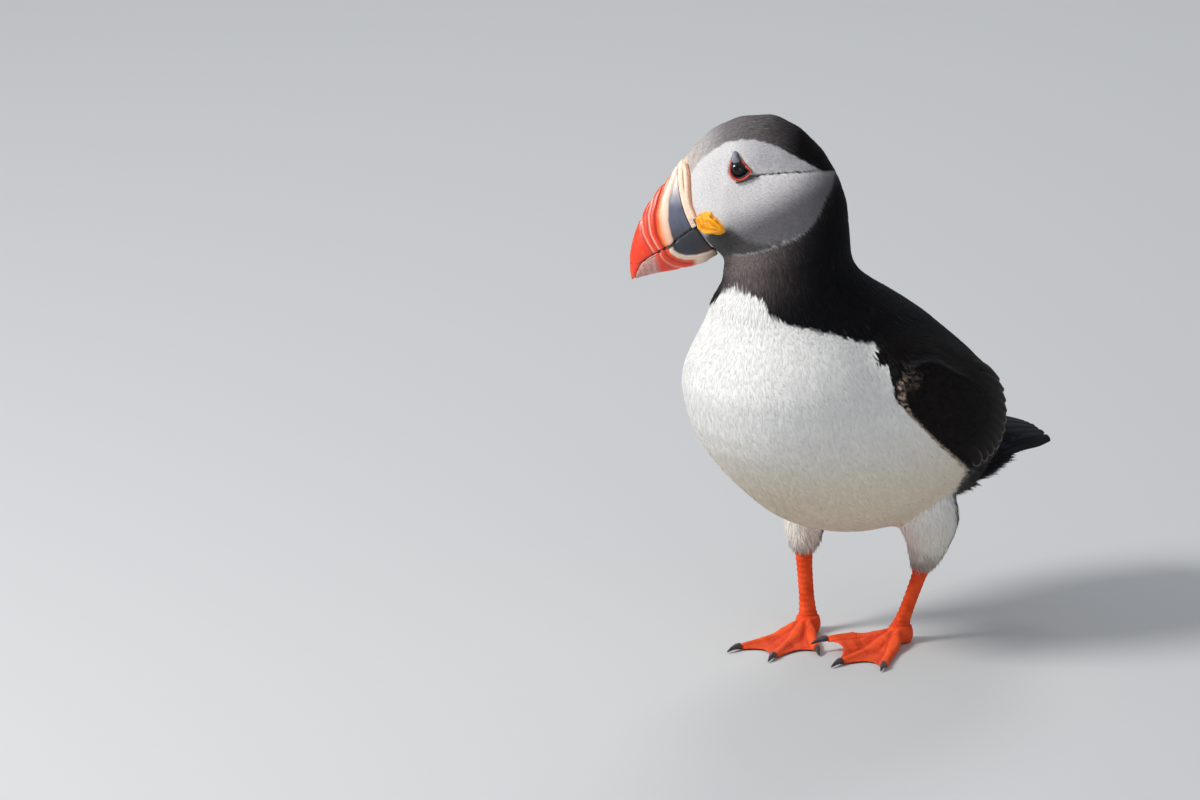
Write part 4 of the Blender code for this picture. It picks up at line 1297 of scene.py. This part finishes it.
def upper_bill_finish(points):
    """Plate, cream band, cere edge and grooves of the upper bill: how far each stands out, and its colour."""
    _, ahead, up = in_head(points)
    plate_front, band_front = at(PLATE_FRONT, up), at(BAND_FRONT, up)
    past_plate, past_band, past_cere = ahead - plate_front, ahead - band_front, ahead - at(CERE_FRONT, up)
    band = np.clip(past_plate / np.maximum(band_front - plate_front, 0.4), 0, 1)
    lift = -0.22 * ease(0.3, -0.5, past_plate) + 0.42 * np.sqrt(np.clip(4 * band * (1 - band), 0, 1))
    lift += 0.12 * ease(0, 0.8, past_band) + 0.4 * ease(0.1, -0.4, past_cere)
    cloud = ripple(points, 3.0, 31)
    colour = mix(BILL_RED, BILL_ORANGE, ease(1.6, -0.2, past_band) * 0.9 + 0.15 * ease(0, 1, cloud))
    colour = mix(colour, BILL_ROSE, ease(-6, 6, up) * 0.45)
    for place, width, depth, shade, strength in UPPER_GROOVES:
        line = past_band - place - 0.25 * np.sin(up * 0.35)
        lift -= depth * groove(line, width)
        colour = mix(colour, shade, strength * groove(line, width * 0.75))
        # Painted shade just behind each groove.
        colour = mix(colour, GROOVE_PAINTED_SHADE, 0.35 * groove(line - width * 1.3, width * 0.7))
    stain = 0.55 * groove(band - 0.95, 0.3) * ease(8, -6, up) + 0.3 * ease(-6, -18, up)
    cream = mix(mix(BILL_CREAM, BILL_ORANGE, stain), CULMEN_CREAM, ease(1, 7, up))
    colour = mix(colour, cream, ease(0.25, -0.25, past_band))
    plate = shade_along(up, (-17, PLATE_LOW), (-12, PLATE_BLUE), (-7, PLATE_BLUE * 1.15),
                        (-2.5, PLATE_GREY_BLUE), (3, CULMEN_CREAM))
    colour = mix(colour, plate * (1 + 0.1 * cloud)[:, None], ease(0.2, -0.2, past_plate))
    colour = mix(colour, BILL_CREAM, ease(0.15, -0.15, past_cere))
    colour = mix(colour, HORN_BROWN, 0.35 * groove(past_cere - 0.2, 0.25))
    colour, slit = gape_tint(colour, ahead, up)
    return lift - 0.25 * slit, colour


def lower_bill_finish(points):
    """Plate, cream rim, grooves and worn tip of the lower bill."""
    _, ahead, up = in_head(points)
    plate = inside_outline(ahead, up, LOWER_PLATE)
    cloud = ripple(points, 3.0, 37)
    lift = -0.2 * ease(0.2, -0.5, plate) + 0.3 * np.sqrt(np.clip(4 * (plate / 1.7) * (1 - plate / 1.7), 0, 1))
    colour = mix(BILL_RED, BILL_ORANGE, 0.25 * ease(0, 1, cloud) + 0.5 * ease(2.8, 1.6, plate))
    for place, width, depth, shade, strength in LOWER_GROOVES:
        lift -= depth * groove(plate - place, width)
        colour = mix(colour, shade, strength * groove(plate - place, width * 0.8))
    tip = ease(38.5, 41.5, ahead - 0.25 * (up + 26))
    colour = mix(colour, mix(TIP_PINK, TIP_GREY, 0.5 + 0.5 * ripple(points, 1.4, 39)), tip * 0.85)
    cream = mix(BILL_CREAM, HORN_BROWN, 0.1 + ease(24, 17.5, ahead) * 0.55)
    colour = mix(colour, cream, np.maximum(ease(1.9, 1.4, plate), ease(27, 24.5, ahead)))
    inner = mix(PLATE_DARK, PLATE_LOW, ease(-22, -25, up) * 0.8 + 0.12 * cloud)
    inner = mix(inner, HORN_BROWN, ease(-19.5, -22, up) * ease(27, 19, ahead) * 0.45)
    colour, slit = gape_tint(mix(colour, inner, ease(0.2, -0.2, plate)), ahead, up)
    rear = distance_to_line(ahead, up, LOWER_REAR)
    colour = mix(colour, HORN_BROWN * 0.7, ease(1.0, 0.4, rear) * 0.9)
    return lift + 0.3 * ease(1.2, 0.4, rear) - 0.25 * slit, colour


def cere_finish(points):
    """Small dots over the fleshy ridge, browner at its back."""
    side, ahead, up = in_head(points)
    back = at(CERE_BACK, up) - ahead
    dots = np.sin(up * 7.5) * np.sin(side * 5 + up)
    colour = mix(BILL_CREAM, mix(HORN_BROWN, BILL_ORANGE, 0.55), ease(0.2, 1.1, back) * 0.8)
    return 0.07 * dots, mix(colour, HORN_BROWN, 0.25 * ease(0.4, 0.9, dots))


def carved(name, node, finish, material, voxel=0.3, swell=0.16, softening=12):
    """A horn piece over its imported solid, with carved relief and its own colours."""
    mesh = remeshed([node], voxel, swell)
    points, edges = arrays_of(mesh)
    points = soften(points, edges, softening)
    set_points(mesh, points)
    lift, colour = finish(points)
    push_out(mesh, points, lift)
    set_colours(mesh, colour)
    show(name, mesh, material, [node])


horn = finish_of("bill_horn", GRAIN, {"Cells": 420.0, "Contrast": 0.12}, 0.12, 0.08,
                 Roughness=0.33, Specular_IOR_Level=0.5, Subsurface_Weight=0.08, Subsurface_Scale=0.001)
ridged_horn = finish_of("cere_horn", GRAIN, {"Cells": 1300.0, "Contrast": 0.35}, 0.5, 0.12,
                        Roughness=0.5, Specular_IOR_Level=0.4)
carved("bill_upper_horn", "bill_upper", upper_bill_finish, horn)
carved("bill_lower_horn", "bill_lower", lower_bill_finish, horn)
carved("bill_cere_ridge", "bill_cere", cere_finish, ridged_horn,
       voxel=0.26, swell=0.42, softening=4)


# --- eyes, lids, horn plates and rosettes ---------------------------------------------------------
EYE_BROWN, EYE_RIM, PUPIL = paint(44, 32, 30), paint(24, 18, 18), paint(4, 4, 5)
LID_BLACK, LID_RED = paint(20, 16, 18), paint(204, 62, 44)
PLATE_GREY, PLATE_SHADE = paint(124, 128, 140), paint(70, 68, 72)
EDGE_BROWN = paint(186, 126, 96)
ROSETTE_GOLD, ROSETTE_YELLOW, ROSETTE_PAINTED_CREASE_SHADE = paint(250, 168, 4), paint(255, 200, 30), paint(206, 100, 6)
head_tree, _ = tree_of(["head"])


def head_surface(sign, ahead, up):
    """The place and the outward way on the head's side, at that distance ahead of and above its middle."""
    place, out, _, _ = head_tree.ray_cast(Vector(from_head(sign * 60, ahead, up)), Vector(-TO_LEFT * sign))
    return np.array(place), np.array(out)


def bead(name, node, sign, ahead, up, tilt, radii, shape, tint, material, centre=None):
    """A rounded piece set on the head's side: shape moves its unit ball's points before it is laid."""
    place, out = head_surface(sign, ahead, up) if centre is None else (centre, TO_LEFT * sign)
    out = unit(out * 0.5 + TO_LEFT * sign * 0.5)
    a = math.radians(tilt)
    forward = unit(AHEAD * math.cos(a) + UPWARD * math.sin(a))
    forward = unit(forward - out * (forward @ out))
    upward = np.cross(out, forward) * (1 if np.cross(out, forward) @ UPWARD > 0 else -1)
    bm = bmesh.new()
    bmesh.ops.create_icosphere(bm, subdivisions=5, radius=1.0)
    ball = np.array([vertex.co[:] for vertex in bm.verts])
    local = shape(ball) * np.array(radii)
    points = place + local[:, :1] * forward + local[:, 1:2] * upward + local[:, 2:] * out
    for vertex, point in zip(bm.verts, points):
        vertex.co = point * MM
    bm.normal_update()
    bmesh.ops.recalc_face_normals(bm, faces=bm.faces)
    mesh = mesh_of(name, bm)
    set_colours(mesh, tint(ball, local))
    show(name, mesh, material, [node])


def eye_tint(ball, local):
    off_axis = np.hypot(local[:, 0], local[:, 1])
    iris = mix(EYE_BROWN, EYE_RIM, ease(1.9, 2.5, off_axis))
    return mix(iris, PUPIL, ease(1.75, 1.55, off_axis) + ease(2.6, 2.8, off_axis))


def brow_shape(ball):
    """A blunt pyramid, narrower at the top."""
    blunt = ball / (np.abs(ball) ** 3).sum(-1, keepdims=True) ** (1 / 3)
    taper = 1.0 - 0.35 * ease(-0.8, 1.0, ball[:, 1])
    return np.stack([blunt[:, 0] * taper, blunt[:, 1], ball[:, 2] * (1 - 0.2 * ball[:, 1])], -1)


def brow_tint(ball, local):
    return mix(PLATE_GREY, PLATE_SHADE, ease(-0.2, 0.9, -ball[:, 0] + 0.4 * ripple(ball, 1.0, 51)))


def lower_shape(ball):
    """A bar that curves down and thins to the rear."""
    taper = 1.0 - 0.7 * ease(0.2, -1.0, ball[:, 0])
    return np.stack([ball[:, 0], ball[:, 1] * taper - 0.35 * (ball[:, 0] ** 2 - 0.3), ball[:, 2] * taper], -1)


def lower_tint(ball, local):
    return mix(PLATE_SHADE, PLATE_SHADE * 0.55, ease(-0.5, 0.8, ripple(ball, 0.8, 53)))


def rosette_folds(ball):
    """Folds that fan out from the rosette's rear corner: 1 on a fold and lower between folds."""
    fan = np.arctan2(ball[:, 1], 1.6 + ball[:, 0])
    wander = ripple(ball, 0.9, 41)
    return 1 - 2 * np.abs(np.sin(fan * 9 + 1.0 * wander)) ** 0.7 * 0.8 + 0.4 * ripple(ball, 0.4, 43)


def rosette_shape(ball):
    rear, swollen = ease(0.1, -1.0, ball[:, 0]), 1 + 0.16 * rosette_folds(ball)
    narrow = 1 - 0.35 * rear
    return np.stack([ball[:, 0] * (1 + 0.08 * rear), ball[:, 1] * narrow * swollen, ball[:, 2] * swollen], -1)


def rosette_tint(ball, local):
    folds = rosette_folds(ball)
    gold = mix(ROSETTE_GOLD, ROSETTE_YELLOW, ease(0.3, 1.2, folds))
    # Painted shade in the creases between the folds.
    return mix(gold, ROSETTE_PAINTED_CREASE_SHADE, ease(0.0, -1.0, folds) * 0.8)


wet_eye = finish_of("wet_eye", GRAIN, {"Cells": 300.0, "Contrast": 0.05}, 0.0, 0.01,
                    Roughness=0.16, Specular_IOR_Level=0.25, Coat_Weight=0.25, Coat_Roughness=0.05)
plate_horn = finish_of("plate_horn", GRAIN, {"Cells": 900.0, "Contrast": 0.3}, 0.35, 0.1,
                       Roughness=0.5, Specular_IOR_Level=0.4)
gape_skin = finish_of("gape_skin", GRAIN, {"Cells": 900.0, "Contrast": 0.25}, 0.5, 0.15,
                      Roughness=0.45, Specular_IOR_Level=0.45, Subsurface_Weight=0.1, Subsurface_Scale=0.001)
lid_skin = finish_of("lid_skin", GRAIN, {"Cells": 1500.0, "Contrast": 0.2}, 0.4, 0.08,
                     Roughness=0.4, Specular_IOR_Level=0.45)


def strand(name, places, radii, closed, colour):
    """A round strand of bare skin along a line of places."""
    curve = bpy.data.curves.new(name, "CURVE")
    curve.dimensions = "3D"
    curve.bevel_depth = MM
    curve.bevel_resolution = 3
    curve.use_fill_caps = not closed
    line = curve.splines.new("POLY")
    line.points.add(len(places) - 1)
    line.use_cyclic_u = closed
    for point, place, radius in zip(line.points, places, radii):
        point.co = (*(place * MM), 1)
        point.radius = radius
    mesh = applied(link(name, curve))
    points, _ = arrays_of(mesh)
    set_colours(mesh, colour * (1 + 0.15 * ripple(points, 1.2, 47))[:, None])
    show(name, mesh, lid_skin)


def lid_ring(name, ball, sign, colour, inset, thickness, out):
    """A fleshy ring round the eye, drawn out to a corner behind it and up to the plate above."""
    places, radii = [], []
    for turn in range(0, 360, 5):
        radius = at(RING_REACH, turn) - inset
        a = math.radians(turn)
        ahead, up = EYE_AHEAD + radius * math.cos(a), RING_UP + radius * math.sin(a)
        place, _ = head_surface(sign, ahead, up)
        rim = ball + TO_LEFT * sign * math.sqrt(EYE_RADIUS ** 2 - min(radius, 3.6) ** 2)
        level = max((place - SKULL) @ TO_LEFT * sign, (rim - SKULL) @ TO_LEFT * sign - 0.25) + out
        places.append(from_head(sign * level, ahead, up))
        radii.append(thickness * (1.0 - 0.35 * ease(4.0, 4.8, radius)) * (1.1 - 0.3 * math.sin(a)))
    places = np.array(places)
    places = (np.roll(places, 1, axis=0) + 2 * places + np.roll(places, -1, axis=0)) / 4
    strand(name, places, radii, True, colour)


def bill_edge(name, sign, behind, radius, colour):
    """The fleshy edge that runs from the forehead down to the rosette, where the face meets the bill."""
    places = []
    for up in np.linspace(9.0, -10.6, 40):
        place, out = head_surface(sign, at(CERE_REAR, up) - behind, up)
        places.append(place - out * 0.15)
    strand(name, soften_row(np.array(places), 3), [radius] * 40, False, colour)


for name, sign in SIDES:
    middle = EYES[name] + TO_LEFT * sign * (EYE_RADIUS - EYEBALL) - UPWARD * 0.4
    bead("eyeball_" + name, "eye_" + name, sign, EYE_AHEAD, EYE_UP - 0.4, 0, (EYEBALL, EYEBALL, EYEBALL),
         np.copy, eye_tint, wet_eye, middle)
    lid_ring("lid_inner_" + name, EYES[name], sign, LID_BLACK, inset=0.55, thickness=0.4, out=0.0)
    lid_ring("lid_outer_" + name, EYES[name], sign, LID_RED, inset=0.0, thickness=0.32, out=0.38)
    bead("brow_plate_" + name, "eye_plate_upper_" + name, sign, EYE_AHEAD + 0.9, EYE_UP + 3.9, -8,
         (1.65, 2.3, 1.1), brow_shape, brow_tint, plate_horn)
    bead("lower_plate_" + name, "eye_plate_lower_" + name, sign, EYE_AHEAD - 2.9, EYE_UP - 3.75, -19,
         (4.2, 0.9, 0.7), lower_shape, lower_tint, plate_horn)
    bill_edge("bill_edge_cream_" + name, sign, -1.15, 1.05, BILL_EDGE_CREAM)
    bill_edge("bill_edge_brown_" + name, sign, -0.05, 0.4, EDGE_BROWN)
    bead("gape_rosette_" + name, "rosette_" + name, sign, 20.3, -12.2, 22, (5.7, 4.2, 2.2),
         rosette_shape, rosette_tint, gape_skin)


# --- claws ----------------------------------------------------------------------------------------
CLAW_DARK, CLAW_PALE = paint(46, 40, 44), paint(112, 100, 100)


def claw_finish(points):
    height = points[:, 2] - points[:, 2].min()
    pale = ease(0.6, 3.0, height) * 0.45 + 0.2 * ease(0, 1, ripple(points, 1.6, 61))
    return 0.05 * ripple(points, 1.1, 63), mix(CLAW_DARK, CLAW_PALE, pale)


claw_horn = finish_of("claw_horn", GRAIN, {"Cells": 700.0, "Contrast": 0.3}, 0.3, 0.1,
                      Roughness=0.38, Specular_IOR_Level=0.5)
for name, _ in SIDES:
    for toe in ("outer", "middle", "inner"):
        node = "claw_" + name + "_" + toe
        carved(node + "_horn", node, claw_finish, claw_horn, voxel=0.24, swell=0.05, softening=5)


# --- stage, light and camera ----------------------------------------------------------------------
LOOK_FROM, LOOK_DOWN, DISTANCE = math.radians(45), math.radians(15), 5.0
AIM_RIGHT, AIM_ABOVE = -0.09398, 0.08769  # metres from the floor between the ankles to the view's middle
LENS, SENSOR = 405.4, 36
LIT_HEIGHT = 0.11  # the lamps point at this height over the ankles


def make_floor():
    disc = bmesh.new()
    bmesh.ops.create_circle(disc, cap_ends=True, segments=96, radius=4.0)
    mesh = mesh_of("floor", disc)
    mesh.materials.append(new_material("pale_floor", Base_Color=(0.56, 0.57, 0.58, 1), Roughness=0.8)[0])
    link("floor", mesh)


def make_lamp(name, place, size, watts, colour):
    lamp = bpy.data.lights.new(name, "AREA")
    lamp.shape = "DISK"
    lamp.size = size
    lamp.energy = watts
    lamp.color = colour
    thing = link(name, lamp)
    thing.location = Vector(AXIS * MM) + Vector((0, 0, LIT_HEIGHT)) + Vector(place)
    thing.rotation_euler = (-Vector(place)).to_track_quat("-Z", "Y").to_euler()


def make_camera():
    back = Vector((math.sin(LOOK_FROM) * math.cos(LOOK_DOWN), -math.cos(LOOK_FROM) * math.cos(LOOK_DOWN),
                   math.sin(LOOK_DOWN)))
    right = Vector((math.cos(LOOK_FROM), math.sin(LOOK_FROM), 0))
    camera = link("camera", bpy.data.cameras.new("camera"))
    camera.location = Vector(AXIS * MM) + right * AIM_RIGHT + back.cross(right) * AIM_ABOVE + back * DISTANCE
    camera.rotation_euler = (-back).to_track_quat("-Z", "Y").to_euler()
    camera.data.lens = LENS
    camera.data.sensor_width = SENSOR
    camera.data.clip_end = 100
    bpy.context.scene.camera = camera


def make_sky():
    world = bpy.data.worlds.new("studio")
    world.use_nodes = True
    background = world.node_tree.nodes["Background"]
    background.inputs["Color"].default_value = (0.80, 0.84, 0.90, 1)
    background.inputs["Strength"].default_value = 0.42
    bpy.context.scene.world = world
    bpy.context.scene.view_settings.view_transform = "Standard"


make_floor()
make_camera()
make_lamp("key", (-0.55, -1.3, 1.05), 0.6, 30, (1.0, 0.985, 0.96))
make_lamp("fill", (1.5, -0.7, 0.3), 1.2, 3.5, (1.0, 0.97, 0.94))
make_lamp("rim", (-0.9, 0.9, 1.1), 0.6, 6, (1, 1, 1))
make_sky()
